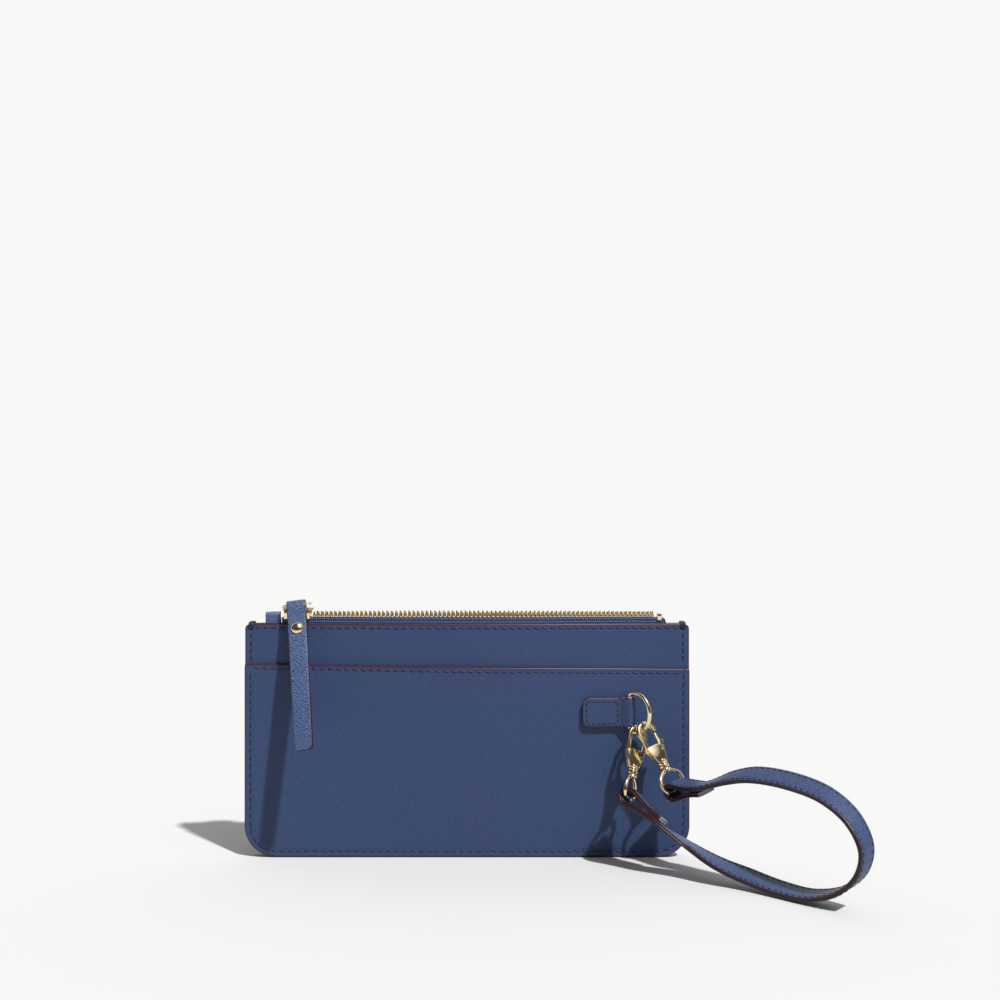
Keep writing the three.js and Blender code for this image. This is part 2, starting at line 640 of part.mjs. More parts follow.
const STRAP_ROUTE = [
  ...foldRoute(BAR_A, V(0.77, -0.285, -0.573), V(0.46, -0.1, 0.88)),
  { at: V(101, -43, 14.4), side: V(0.5, 0.85, -0.15) },
  { at: V(112.7, -52, 8.8), side: V(0.58, 0.76, 0.12) },
  { at: V(124.5, -59.5, 5.2), side: V(0.63, 0.7, 0.28) },
  { at: V(136, -70, 3), side: V(0.65, 0.7, 0.26) },
  { at: V(147, -81, 3.2), side: V(0.67, 0.7, 0.2) },
  { at: V(157.5, -90.5, 8), side: V(0.68, 0.71, 0.14) },
  { at: V(164, -96.5, 16.8), side: V(0.69, 0.71, 0.12) },
  { at: V(165.6, -98, 27), side: V(0.69, 0.7, 0.16) },
  { at: V(161.4, -93.8, 38), side: V(0.67, 0.67, 0.28) },
  { at: V(152.6, -85, 46), side: V(0.64, 0.64, 0.4) },
  { at: V(140.4, -73, 49.6), side: V(0.6, 0.62, 0.46) },
  { at: V(127, -60, 49.8), side: V(0.6, 0.6, 0.46) },
  { at: V(118.5, -50.8, 46.8), side: V(0.64, 0.61, 0.4) },
  ...foldRoute(BAR_B, V(0.6, -0.76, 0.2), V(0.1, -0.1, -0.95)).reverse(),
];

const STRAP_FACE = STRAP_PLY + STRAP_PLY_GAP / 2;
const strapPly = (low) => band(STRAP_ROUTE, {
  width: STRAP_WIDTH, low, high: low + STRAP_PLY, steps: STRAP_STEPS * (STRAP_ROUTE.length - 1),
});
const strapThread = (across) => band(STRAP_ROUTE, {
  width: THREAD,
  low: -STRAP_FACE - THREAD_LIFT - THREAD_HEIGHT,
  high: -STRAP_FACE - THREAD_LIFT,
  steps: STRAP_STEPS * (STRAP_ROUTE.length - 1 - 2 * FOLD_STOPS.length),
  across,
  from: FOLD_STOPS.length,
  to: STRAP_ROUTE.length - 1 - FOLD_STOPS.length,
});

// ---- the seams ----
// A thread lies on the wall's face along a run of (x, z) places.
function seam(places, { at, facing, bow = wallBow, steps }) {
  const route = places.map(([x, z], i) => {
    const [nextX, nextZ] = places[Math.min(i + 1, places.length - 1)];
    const [lastX, lastZ] = places[Math.max(i - 1, 0)];
    const along = new THREE.Vector2(nextX - lastX, nextZ - lastZ).normalize();
    return { at: V(x, MIDDLE_Y + facing * (at + bow(x, z)), z), side: V(-along.y, 0, along.x) };
  });
  return band(route, { width: THREAD, low: -THREAD_HEIGHT / 2, high: THREAD_HEIGHT / 2, steps });
}

function rimPlaces(top) {
  const side = WIDTH / 2 - STITCH_INSET;
  const radius = BOTTOM_RADIUS - STITCH_INSET;
  const corner = [];
  for (let i = 0; i <= 4; i += 1) {
    const angle = Math.PI / 2 * i / 4;
    const [along, down] = [radius * Math.cos(angle), radius * Math.sin(angle)];
    corner.push([side - radius + along, STITCH_INSET + radius - down]);
  }
  const bottom = [-60, -30, 0, 30, 60].map((x) => [x, STITCH_INSET]);
  const left = [...corner].reverse().map(([x, z]) => [-x, z]).reverse();
  return [[-side, top], [-side, top / 2], ...left, ...bottom, ...corner.reverse(), [side, top / 2], [side, top]];
}

function topPlaces(z, half) {
  const places = [];
  const count = 12;
  for (let i = 0; i <= count; i += 1) {
    const x = half * (2 * i / count - 1);
    places.push([x, z(x)]);
  }
  return places;
}

const OUTER_FACE = PANEL_AT + LEATHER + THREAD_HEIGHT / 2 + THREAD_LIFT;
const POCKET_FACE = POCKET_AT + LEATHER + THREAD_HEIGHT / 2 + THREAD_LIFT;
const pocketTop = (x) => POCKET_TOP_LEFT + (POCKET_TOP_RIGHT - POCKET_TOP_LEFT) * (x / WIDTH + 0.5);
const seamHalf = WIDTH / 2 - STITCH_INSET - 1.5;

function tabThread() {
  const y = TAB_FACE_Y - 2 * (LOOP_OUTER - LOOP_INNER) - 0.4;
  const outline = new THREE.Shape();
  const inset = 1.6;
  const [left, right] = [TAB_LEFT + inset, 72];
  const [bottom, top] = [TAB_BOTTOM + inset, TAB_BOTTOM + TAB_HEIGHT - inset];
  const rectangle = (shape, grow) => {
    shape.moveTo(left - grow, bottom - grow);
    shape.lineTo(right + grow, bottom - grow);
    shape.lineTo(right + grow, top + grow);
    shape.lineTo(left - grow, top + grow);
    shape.closePath();
    return shape;
  };
  rectangle(outline, THREAD / 2);
  outline.holes.push(rectangle(new THREE.Path(), -THREAD / 2));
  return followPocket(plate(outline, y - THREAD_LIFT - THREAD_HEIGHT, y - THREAD_LIFT));
}

// ---- materials and assembly ----
const finish = (color, roughness, metalness) => () => (
  new THREE.MeshStandardMaterial({ color, roughness, metalness })
);
const saffiano = finish(NAVY, 0.55, 0);
const edgeLeather = finish(MAROON, 0.6, 0);
const cloth = finish(LINING_COLOUR, 0.85, 0);
const sewing = finish(THREAD_COLOUR, 0.7, 0);
const gold = finish(GOLD, 0.2, 1);
const steel = finish(STEEL, 0.35, 1);

const wallet = new THREE.Group();

function add(parent, name, geometry, material) {
  const mesh = new THREE.Mesh(geometry, material());
  mesh.name = name;
  parent.add(mesh);
}

add(wallet, 'back_panel', panel(1), saffiano);
add(wallet, 'front_panel', panel(-1), saffiano);
add(wallet, 'front_pocket', pocket(), saffiano);
add(wallet, 'lining_back', lining(1), cloth);
add(wallet, 'lining_front', lining(-1), cloth);

add(wallet, 'zip_tape_back', zipTape(1), cloth);
add(wallet, 'zip_tape_front', zipTape(-1), cloth);
add(wallet, 'zip_teeth_back', teethRow(1), gold);
add(wallet, 'zip_teeth_front', teethRow(-1), gold);
add(wallet, 'zip_top_stop_back', topStop(1), gold);
add(wallet, 'zip_top_stop_front', topStop(-1), gold);
add(wallet, 'zip_bottom_stop', bottomStop(), gold);
add(wallet, 'zip_start_tab', startTab(), cloth);

add(wallet, 'slider_body', sliderBody(), gold);
add(wallet, 'slider_bail', sliderBail(), gold);
add(wallet, 'pull_link', pullLink(), gold);
add(wallet, 'pull_strip', pullStrip(), saffiano);
add(wallet, 'pull_rivet_cap', rivetCap(), gold);
add(wallet, 'pull_rivet_back', rivetBack(), gold);

add(wallet, 'ring_tab', tab(), saffiano);
add(wallet, 'd_ring', dRing(), gold);

for (const [letter, clasp, bar] of [['a', CLASP_A, BAR_A], ['b', CLASP_B, BAR_B]]) {
  const group = new THREE.Group();
  group.applyMatrix4(clasp.place);
  add(group, `clasp_${letter}_hook`, hookBody(), gold);
  add(group, `clasp_${letter}_gate`, gate(), gold);
  add(group, `clasp_${letter}_gate_pin`, gatePin(), steel);
  add(group, `clasp_${letter}_gate_spring`, gateSpring(), steel);
  add(group, `clasp_${letter}_eye`, claspEye(bar.angle), gold);
  wallet.add(group);
}

add(wallet, 'strap_outer_ply', strapPly(-STRAP_FACE), saffiano);
add(wallet, 'strap_inner_ply', strapPly(STRAP_PLY_GAP / 2), edgeLeather);
add(wallet, 'strap_thread_near', strapThread(-3.8), sewing);
add(wallet, 'strap_thread_far', strapThread(3.8), sewing);

const front = { at: OUTER_FACE, facing: -1 };
const back = { at: OUTER_FACE, facing: 1 };
const overPocket = { at: POCKET_FACE, facing: -1, bow: pocketBow };
const topEdge = topPlaces(() => HEIGHT - 2, seamHalf);
const pocketEdge = topPlaces((x) => pocketTop(x) - 2, seamHalf);
add(wallet, 'thread_rim_front', seam(rimPlaces(86), { ...overPocket, steps: 38 }), sewing);
add(wallet, 'thread_rim_back', seam(rimPlaces(106), { ...back, steps: 38 }), sewing);
add(wallet, 'thread_top_front', seam(topEdge, { ...front, steps: 24 }), sewing);
add(wallet, 'thread_top_back', seam(topEdge, { ...back, steps: 24 }), sewing);
add(wallet, 'thread_pocket_top', seam(pocketEdge, { ...overPocket, steps: 24 }), sewing);
add(wallet, 'thread_tab', tabThread(), sewing);

export default wallet;
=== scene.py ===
"""The looks of a zip-top leather wristlet wallet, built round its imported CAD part.

Shapes are worked out in millimetres, in the part's own frame, and made into meshes in metres.
"""

import json
import math
import random

import bmesh
import bpy
import numpy as np
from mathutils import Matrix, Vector

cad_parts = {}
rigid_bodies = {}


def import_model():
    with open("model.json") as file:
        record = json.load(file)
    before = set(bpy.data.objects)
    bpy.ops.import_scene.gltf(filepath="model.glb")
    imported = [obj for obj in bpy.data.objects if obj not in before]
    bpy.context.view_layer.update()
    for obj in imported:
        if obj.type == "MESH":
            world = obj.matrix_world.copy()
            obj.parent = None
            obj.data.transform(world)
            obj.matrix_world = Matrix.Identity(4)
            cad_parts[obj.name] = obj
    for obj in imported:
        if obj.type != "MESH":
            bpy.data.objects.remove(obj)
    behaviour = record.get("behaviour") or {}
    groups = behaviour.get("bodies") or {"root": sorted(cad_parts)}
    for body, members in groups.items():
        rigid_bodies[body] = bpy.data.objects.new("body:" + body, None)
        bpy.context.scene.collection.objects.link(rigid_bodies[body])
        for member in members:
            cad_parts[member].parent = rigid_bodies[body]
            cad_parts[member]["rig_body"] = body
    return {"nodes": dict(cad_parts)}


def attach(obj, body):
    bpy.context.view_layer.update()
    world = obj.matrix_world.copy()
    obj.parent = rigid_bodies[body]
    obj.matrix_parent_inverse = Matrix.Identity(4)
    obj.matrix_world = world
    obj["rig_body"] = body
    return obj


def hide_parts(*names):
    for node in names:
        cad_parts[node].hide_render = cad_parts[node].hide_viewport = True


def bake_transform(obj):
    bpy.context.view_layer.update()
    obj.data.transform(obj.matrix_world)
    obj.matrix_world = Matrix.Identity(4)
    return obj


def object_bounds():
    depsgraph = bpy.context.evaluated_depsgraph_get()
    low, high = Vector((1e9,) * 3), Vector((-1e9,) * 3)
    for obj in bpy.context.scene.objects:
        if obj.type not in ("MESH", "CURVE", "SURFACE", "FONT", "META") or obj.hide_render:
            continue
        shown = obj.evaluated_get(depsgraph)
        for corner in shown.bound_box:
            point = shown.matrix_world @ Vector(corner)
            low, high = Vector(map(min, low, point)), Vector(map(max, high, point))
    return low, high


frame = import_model()
CAD_BOUNDS = [list(corner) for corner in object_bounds()]

MM = 0.001
random.seed(7)

# ---- the part's dimensions, in millimetres ----
WIDTH = 212
HEIGHT = 111
BOTTOM_RADIUS = 15
TOP_RADIUS = 2.5
LEATHER = 1.3
TAPE = 0.5
LINING = 0.5
PLY_GAP = 0.3
MOUTH_HALF = 92
MOUTH_BOW = 3.6
POCKET_TOP_LEFT = 92
POCKET_TOP_RIGHT = 89.5
POCKET_GAPE = 1.2
LINING_TOP = 108.5

INNER = 0.2
TAPE_AT = INNER + LINING + PLY_GAP
PANEL_AT = TAPE_AT + TAPE + PLY_GAP
POCKET_AT = PANEL_AT + LEATHER + PLY_GAP
MIDDLE_Y = -(PANEL_AT + LEATHER / 2)
FRONT_FACE_Y = MIDDLE_Y - POCKET_AT - LEATHER

TAPE_BOTTOM = 101
TAPE_TOP = 113.9
TAPE_LEFT = -88.6
TAPE_RIGHT = 95
TOOTH_PITCH = 2.09
TOOTH_COUNT = 78
TEETH_LEFT = -73.7
TEETH_TOP = 116.7

SLIDER_X = -81
SLIDER_LENGTH = 15
SLIDER_TOP = 118.6

PULL_WIDTH = 9
PULL_THICKNESS = 1.5
PULL_LEAN = math.radians(22.5)
PULL_TILT = math.radians(6.3)
PULL_TWIST = math.radians(18)
PULL_LENGTH = 70
RIVET_DROP = 12
LINK_WIRE = 0.55
LINK_HALF = 6.5

TAB_LEFT = 55
TAB_BOTTOM = 62.6
TAB_HEIGHT = 13.6
TAB_CORNER = 3
D_WIRE = 1.05
RING_X = 77.2
D_HALF_HEIGHT = 9
D_STRAIGHT = 4.7
D_DEPTH = 12.2
D_SWING = math.radians(47)

STRAP_WIDTH = 10
STRAP_HALF_THICKNESS = 1
STITCH_ROW = 3.8
EYE_DROP = 31
EYE_WIRE = 0.9

STITCH_INSET = 2.9
RIM_PITCH = 3.9
STRAP_PITCH = 3
THREAD_RADIUS = 0.36


def unit(vector):
    vector = np.asarray(vector, float)
    return vector / np.linalg.norm(vector)


def square_to(vector, axis):
    """The part of vector at a right angle to axis, one unit long."""
    vector, axis = np.asarray(vector, float), unit(axis)
    return unit(vector - vector @ axis * axis)


# ---- lines ----
class Route:
    """A centripetal Catmull-Rom line through stops, the same one that the CAD part follows."""

    def __init__(self, stops):
        stops = np.asarray(stops, float)
        self.count = len(stops)
        self.knots = np.vstack([2 * stops[0] - stops[1], stops, 2 * stops[-1] - stops[-2]])

    def at(self, t):
        place = np.clip(np.atleast_1d(t), 0, 1) * (self.count - 1)
        index = np.minimum(place.astype(int), self.count - 2)
        w = (place - index)[:, None]
        p0, p1, p2, p3 = (self.knots[index + k] for k in range(4))
        gap = [np.sqrt(np.linalg.norm(b - a, axis=1))[:, None] for a, b in ((p0, p1), (p1, p2), (p2, p3))]
        middle = np.where(gap[1] < 1e-4, 1, gap[1])
        first = np.where(gap[0] < 1e-4, middle, gap[0])
        last = np.where(gap[2] < 1e-4, middle, gap[2])
        start = ((p1 - p0) / first - (p2 - p0) / (first + middle) + (p2 - p1) / middle) * middle
        end = ((p2 - p1) / middle - (p3 - p1) / (middle + last) + (p3 - p2) / last) * middle
        square = -3 * p1 + 3 * p2 - 2 * start - end
        cube = 2 * p1 - 2 * p2 + start + end
        return p1 + w * start + w**2 * square + w**3 * cube

    def along(self, t):
        t = np.atleast_1d(t)
        step = self.at(t + 1e-4) - self.at(t - 1e-4)
        return step / np.linalg.norm(step, axis=1, keepdims=True)


def lengths_of(points):
    return np.concatenate([[0], np.cumsum(np.linalg.norm(np.diff(points, axis=0), axis=1))])


class Ribbon:
    """A route with the direction of a band's width at each stop, measured by distance along it."""

    def __init__(self, places, sides):
        self.line, self.sides = Route(places), Route(sides)
        self.table = np.linspace(0, 1, 4001)
        self.run = lengths_of(self.line.at(self.table))
        self.length = self.run[-1]

    def share(self, distance):
        return np.interp(distance, self.run, self.table)

    def distance_at_stop(self, stop):
        return float(np.interp(stop / (self.line.count - 1), self.table, self.run))

    def frame(self, distance):
        """Place, direction along, direction across and direction out at distances along the band."""
        t = self.share(distance)
        along = self.line.along(t)
        side = self.sides.at(t)
        side = side - (side * along).sum(1, keepdims=True) * along
        side /= np.linalg.norm(side, axis=1, keepdims=True)
        return self.line.at(t), along, side, np.cross(along, side)


# ---- shapes: each is (points, faces), with faces as lists of point numbers ----
def grid_faces(rows, columns, closed=False):
    faces = []
    for r in range(rows - 1):
        for c in range(columns if closed else columns - 1):
            d = (c + 1) % columns
            faces.append([r * columns + c, r * columns + d, (r + 1) * columns + d, (r + 1) * columns + c])
    return faces


def together(*shapes):
    points, faces, start = [], [], 0
    for shape_points, shape_faces in shapes:
        points.append(np.asarray(shape_points, float))
        faces += [[i + start for i in face] for face in shape_faces]
        start += len(shape_points)
    return np.vstack(points), faces


def tube(points, radius, sides=12, closed=False):
    """A round wire through close-set points."""
    points = np.asarray(points, float)
    after = np.roll(points, -1, 0) if closed else np.vstack([points[1:], 2 * points[-1] - points[-2]])
    before = np.roll(points, 1, 0) if closed else np.vstack([2 * points[0] - points[1], points[:-1]])
    along = after - before
    along /= np.linalg.norm(along, axis=1, keepdims=True)
    normal = square_to(np.eye(3)[np.argmin(np.abs(along[0]))], along[0])
    rings = []
    for place, direction in zip(points, along):
        normal = square_to(normal, direction)
        other = np.cross(direction, normal)
        for i in range(sides):
            angle = 2 * math.pi * i / sides
            rings.append(place + radius * (math.cos(angle) * normal + math.sin(angle) * other))
    faces = grid_faces(len(points), sides, closed=True)
    last = (len(points) - 1) * sides
    if closed:
        base = np.array(rings[:sides])
        shift = int(np.argmin(np.linalg.norm(base - rings[last], axis=1)))
        for i in range(sides):
            j = i + 1
            faces.append([last + i, last + j % sides, (j + shift) % sides, (i + shift) % sides])
    else:
        faces += [list(range(sides))[::-1], [last + i for i in range(sides)]]
    return np.array(rings), faces


def turned(profile, sides=28):
    """A shape turned about the second axis, from (radius, height) pairs that start and end on the axis."""
    points = []
    for radius, height in profile:
        for i in range(sides):
            angle = 2 * math.pi * i / sides
            points.append((max(radius, 1e-3) * math.cos(angle), height, max(radius, 1e-3) * math.sin(angle)))
    last = (len(profile) - 1) * sides
    caps = [list(range(sides)), [last + i for i in range(sides)][::-1]]
    return np.array(points), [face[::-1] for face in grid_faces(len(profile), sides, closed=True)] + caps


def slab(outline, low, high, bevel, segments=3):
    """An outline in the first two axes, thickened along the third, with its edges rounded."""
    mesh = bmesh.new()
    floor = [mesh.verts.new((u, v, low)) for u, v in outline]
    top = mesh.faces.new(floor)
    moved = bmesh.ops.extrude_face_region(mesh, geom=[top])["geom"]
    raised = [g for g in moved if isinstance(g, bmesh.types.BMVert)]
    bmesh.ops.translate(mesh, vec=(0, 0, high - low), verts=raised)
    bmesh.ops.recalc_face_normals(mesh, faces=mesh.faces)
    sharp = [e for e in mesh.edges if e.is_manifold and e.calc_face_angle(0) > math.radians(40)]
    bmesh.ops.bevel(
        mesh, geom=sharp, offset=bevel, segments=segments, profile=0.5, affect="EDGES", clamp_overlap=True
    )
    mesh.verts.index_update()
    points = np.array([v.co[:] for v in mesh.verts])
    faces = [[v.index for v in f.verts] for f in mesh.faces]
    mesh.free()
    return points, faces


def arc(centre, radius, start, end, steps):
    angles = np.radians(np.linspace(start, end, steps + 1))
    return [(centre[0] + radius * math.cos(a), centre[1] + radius * math.sin(a)) for a in angles]


def flat_section(width, low, high, edge, groove_at=None, columns=12):
    """A band's cross-section as (across, out) pairs, with True for the sides that are painted edge."""
    half = width / 2
    across = np.linspace(-half + edge, half - edge, columns + 1)

    def face(level, sign):
        swell = 0.1 * np.cos(np.clip(across / (half + 1), -1, 1) * math.pi / 2) if edge else 0 * across
        if groove_at:
            swell = swell - 0.13 * np.exp(-(((np.abs(across) - groove_at) / 0.5) ** 2))
        return [(a, level + sign * s) for a, s in zip(across, swell)]

    rounding = [math.radians(a) for a in (22.5, 45, 67.5)]
    right = [(half - edge + edge * math.sin(a), low + edge - edge * math.cos(a)) for a in rounding]
    right += [(half, low + edge), (half, high - edge)]
    right += [(half - edge + edge * math.cos(a), high - edge + edge * math.sin(a)) for a in rounding]
    left = [(-a, o) for a, o in reversed(right)]
    points = face(low, -1) + right + face(high, 1)[::-1] + left
    painted = [False] * columns + [True] * (len(right) + 1) + [False] * columns + [True] * (len(left) + 1)
    return points, painted


def band(ribbon, section, painted, start_round=0, end_round=0, step=1.2):
    """A band with a cross-section, whose ends may be rounded in plan.

    Gives points, faces, grain and paint. Paint 0 is the face, 1 the painted edge and 2 the cut ends.
    """
    stations = list(np.arange(0, ribbon.length, step)) + [ribbon.length]
    for radius, place in ((start_round, lambda d: d), (end_round, lambda d: ribbon.length - d)):
        stations += [place(radius * (1 - math.cos(math.radians(a)))) for a in range(0, 91, 10) if radius]
    stations = np.array(sorted({round(s, 3) for s in stations}))
    half = max(a for a, _ in section)
    narrow = np.ones(len(stations))
    for radius, inset in ((start_round, stations), (end_round, ribbon.length - stations)):
        if radius:
            into = np.clip(inset, 0, radius)
            narrow = np.minimum(narrow, (half - radius + np.sqrt(radius**2 - (radius - into) ** 2)) / half)
    place, _, side, out = ribbon.frame(stations)
    count = len(section)
    across = np.array([a for a, _ in section])
    lift = np.array([o for _, o in section])
    reach = across[None] * narrow[:, None]
    points = place[:, None] + reach[..., None] * side[:, None] + lift[None, :, None] * out[:, None]
    grain = np.stack([np.repeat(stations[:, None], count, 1), reach], -1)
    faces = grid_faces(len(stations), count, closed=True)
    paint = [int(p) for p in painted] * (len(stations) - 1)
    last = (len(stations) - 1) * count
    faces += [list(range(count))[::-1], [last + i for i in range(count)]]
    return points.reshape(-1, 3), faces, grain.reshape(-1, 2), paint + [2, 2]


def stitches(places, alongs, outs, length, radius=THREAD_RADIUS, slant=6):
    """Short rounded lengths of thread that dip into their holes at both ends."""
    sides = 6
    runs = np.array([-1, -0.93, -0.75, -0.35, 0.35, 0.75, 0.93, 1])
    size = np.array([0.35, 0.8, 1, 1, 1, 1, 0.8, 0.35])
    points, faces = [], []
    for place, along, out in zip(places, alongs, outs):
        side = np.cross(along, out)
        turn = math.radians(slant + random.uniform(-3, 3))
        along, side = (
            math.cos(turn) * along + math.sin(turn) * side,
            math.cos(turn) * side - math.sin(turn) * along,
        )
        start = len(points)
        for run, grow in zip(runs, size):
            middle = place + along * run * length / 2 - out * radius * 1.1 * abs(run) ** 5
            for i in range(sides):
                angle = 2 * math.pi * (i + 0.5) / sides
                ring = math.cos(angle) * side + 0.8 * math.sin(angle) * out
                points.append(middle + radius * grow * ring)
        faces += [[i + start for i in face] for face in grid_faces(len(runs), sides, closed=True)]
        end = start + (len(runs) - 1) * sides
        faces += [[start + i for i in range(sides)][::-1], [end + i for i in range(sides)]]
    return np.array(points), faces


# ---- pieces ----
def show(node, shape, materials, grain=None, paint=None, sharp=None, bends_with=None):
    """Makes a mesh that stands for a CAD node and moves with the node's body; with bends_with it is only
    baked in place and not tied to the body.
    """
    points, faces = shape
    mesh = bpy.data.meshes.new(f"{node}_look")
    mesh.from_pydata((np.asarray(points) * MM).tolist(), [], faces)
    for material in materials:
        mesh.materials.append(material)
    if paint is not None:
        mesh.polygons.foreach_set("material_index", [min(p, len(materials) - 1) for p in paint])
    if grain is not None:
        corners = np.zeros(len(mesh.loops), int)
        mesh.loops.foreach_get("vertex_index", corners)
        layer = mesh.uv_layers.new(name="grain")
        layer.data.foreach_set("uv", np.asarray(grain, float)[corners].ravel())
    tidy = bmesh.new()
    tidy.from_mesh(mesh)
    bmesh.ops.recalc_face_normals(tidy, faces=tidy.faces)
    tidy.to_mesh(mesh)
    tidy.free()
    mesh.polygons.foreach_set("use_smooth", [True] * len(mesh.polygons))
    if sharp:
        mesh.set_sharp_from_angle(angle=math.radians(sharp))
    piece = bpy.data.objects.new(f"{node}_look", mesh)
    bpy.context.scene.collection.objects.link(piece)
    body = frame["nodes"][node]["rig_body"]
    if bends_with:
        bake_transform(piece)
        follow = (mouth_share(points[:, 0]) * np.clip((points[:, 2] - HEIGHT) / 2, 0, 1)).astype(np.float32)
    else:
        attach(piece, body)
    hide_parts(node)
    return piece


# ---- the wallet's walls ----
def mouth_share(x):
    return np.where(np.abs(x) < MOUTH_HALF, np.cos(math.pi * x / (2 * MOUTH_HALF)) ** 2, 0)


def wall_bow(x, z):
    return MOUTH_BOW * mouth_share(x) * np.sin(math.pi / 2 * np.clip(z / HEIGHT, 0, 1))


def pocket_bow(x, z):
    return wall_bow(x, z) + POCKET_GAPE * mouth_share(x) * np.clip(z / POCKET_TOP_LEFT, 0, 1) ** 2


def slackness(x, z):
    """The gentle unevenness of soft leather, shared by every layer of a wall and gone at its edges."""
    window = np.clip(1 - (x / 100) ** 2, 0, 1) * np.sin(math.pi * np.clip(z / HEIGHT, 0, 1))
    return 0.35 * window * (1 + np.sin(x / 21 + 0.8) * np.sin(z / 17 + 0.4))


def rim_distance(x, z):
    """How far inside the sides and rounded bottom of the wallet a place lies."""
    across = np.abs(x) - (WIDTH / 2 - BOTTOM_RADIUS)
    down = BOTTOM_RADIUS - z
    outside = np.hypot(np.maximum(across, 0), np.maximum(down, 0))
    return BOTTOM_RADIUS - outside - np.minimum(np.maximum(across, down), 0)


def pocket_top(x):
    return POCKET_TOP_LEFT + (POCKET_TOP_RIGHT - POCKET_TOP_LEFT) * (x / WIDTH + 0.5)


def seam_dent(distance):
    return -0.2 * np.exp(-((distance / 0.55) ** 2))


def wall_sheet(facing, at, thickness, bow, top, half=WIDTH / 2, bottom=0, low_radius=BOTTOM_RADIUS,
               high_radius=TOP_RADIUS, seams=None, fine=0.7, rim=1.0):
    """A sheet of the wall with a rounded rim. Gives points, faces, grain and paint."""
    edge = thickness / 2 * rim
    ceiling = float(np.max(top(np.array([-half, half]))))
    low, high = bottom + edge, ceiling - edge
    near = np.arange(0, 7, fine)
    corner = np.arange(0, max(low_radius, 4), fine)
    middle_levels = np.arange(low + corner[-1] + 2.5, high - 8, 2.5)
    levels = np.concatenate([low + corner, middle_levels, high - near[::-1]])
    low_radius, high_radius = max(low_radius - edge, 0.01), max(high_radius - edge, 0.01)
    into_low = np.clip(low_radius - (levels - low), 0, low_radius)
    into_high = np.clip(levels - (high - high_radius), 0, high_radius)
    reach = half - edge
    reach = reach - (low_radius - np.sqrt(low_radius**2 - into_low**2)) - (
        high_radius - np.sqrt(high_radius**2 - into_high**2)
    )
    middle = np.linspace(-1, 1, 81)[1:-1]
    x = np.concatenate([
        -(reach[:, None] - near[None]),
        middle[None] * (reach[:, None] - near[-1]),
        (reach[:, None] - near[::-1][None]),
    ], axis=1)
    lifted = np.clip((levels - 20) / (ceiling - 20), 0, 1)[:, None]
    z = levels[:, None] + (top(x) - ceiling) * lifted
    rows, columns = x.shape

    def place(px, pz, depth):
        return np.stack([px, MIDDLE_Y + facing * (at + depth + bow(px, pz) + slackness(px, pz)), pz], -1)

    dent = seams(x, z) if seams else 0 * x
    outer = place(x, z, thickness + dent).reshape(-1, 3)
    inner = place(x, z, 0 * x).reshape(-1, 3)
    loop = (
        [c for c in range(columns)]
        + [r * columns + columns - 1 for r in range(1, rows)]
        + [(rows - 1) * columns + c for c in range(columns - 2, -1, -1)]
        + [r * columns for r in range(rows - 2, 0, -1)]
    )
    flat = np.stack([x.ravel(), z.ravel()], -1)[loop]
    run = np.roll(flat, -1, 0) - np.roll(flat, 1, 0)
    outward = np.stack([run[:, 1], -run[:, 0]], -1) / np.linalg.norm(run, axis=1, keepdims=True)
    steps = 6
    rings, ring_flats = [], []
    for i in range(1, steps):
        angle = math.pi * i / steps
        reached = flat + outward * edge * math.sqrt(math.sin(angle))
        depth = thickness / 2 * (1 + math.cos(angle))
        rings.append(place(reached[:, 0], reached[:, 1], depth))
        ring_flats.append(reached)
    points = np.vstack([outer, inner, *rings])
    faces = grid_faces(rows, columns)
    faces += [[i + rows * columns for i in face] for face in grid_faces(rows, columns)]
    paint = [0] * len(faces)
    around = len(loop)
    chains = [loop] + [[2 * rows * columns + k * around + i for i in range(around)] for k in range(steps - 1)]
    chains.append([i + rows * columns for i in loop])
    for first, second in zip(chains, chains[1:]):
        for i in range(around):
            j = (i + 1) % around
            faces.append([first[i], first[j], second[j], second[i]])
            paint.append(1)
    grain = np.vstack([np.stack([x.ravel(), z.ravel()], -1)] * 2 + ring_flats)
    return points, faces, grain, paint


def flat_top(level):
    return lambda x: 0 * x + level


def show_wall(node, sheet, materials):
    points, faces, grain, paint = sheet
    return show(node, (points, faces), materials, grain=grain, paint=paint)


# ---- seams on the walls ----
def rim_line(top):
    side = WIDTH / 2 - STITCH_INSET
    radius = BOTTOM_RADIUS - STITCH_INSET
    low = STITCH_INSET + radius
    left = [(-side, top)] + arc((-side + radius, low), radius, 180, 270, 12)
    right = arc((side - radius, low), radius, 270, 360, 12) + [(side, top)]
    return np.array(left + right)


def spaced(line, pitch):
    """Middles and directions of the stitches along a line, evenly spaced."""
    run = lengths_of(line)
    count = max(1, round(run[-1] / pitch))
    middles = (np.arange(count) + 0.5) * run[-1] / count

    def at(distance):
        return np.stack([np.interp(distance, run, line[:, i]) for i in range(line.shape[1])], -1)

    along = at(middles + 0.3) - at(middles - 0.3)
    return at(middles), along / np.linalg.norm(along, axis=1, keepdims=True), run[-1] / count


def wall_seam(line, facing, face_at, bow, pitch=RIM_PITCH, radius=THREAD_RADIUS):
    middles, along, step = spaced(np.asarray(line, float), pitch)
    x, z = middles[:, 0], middles[:, 1]
    y = MIDDLE_Y + facing * (face_at - 0.02 + bow(x, z) + slackness(x, z))
    alongs = np.stack([along[:, 0], 0 * x, along[:, 1]], -1)
    outs = np.repeat([[0, facing, 0]], len(x), 0)
    return stitches(np.stack([x, y, z], -1), alongs, outs, step * 0.82, radius)


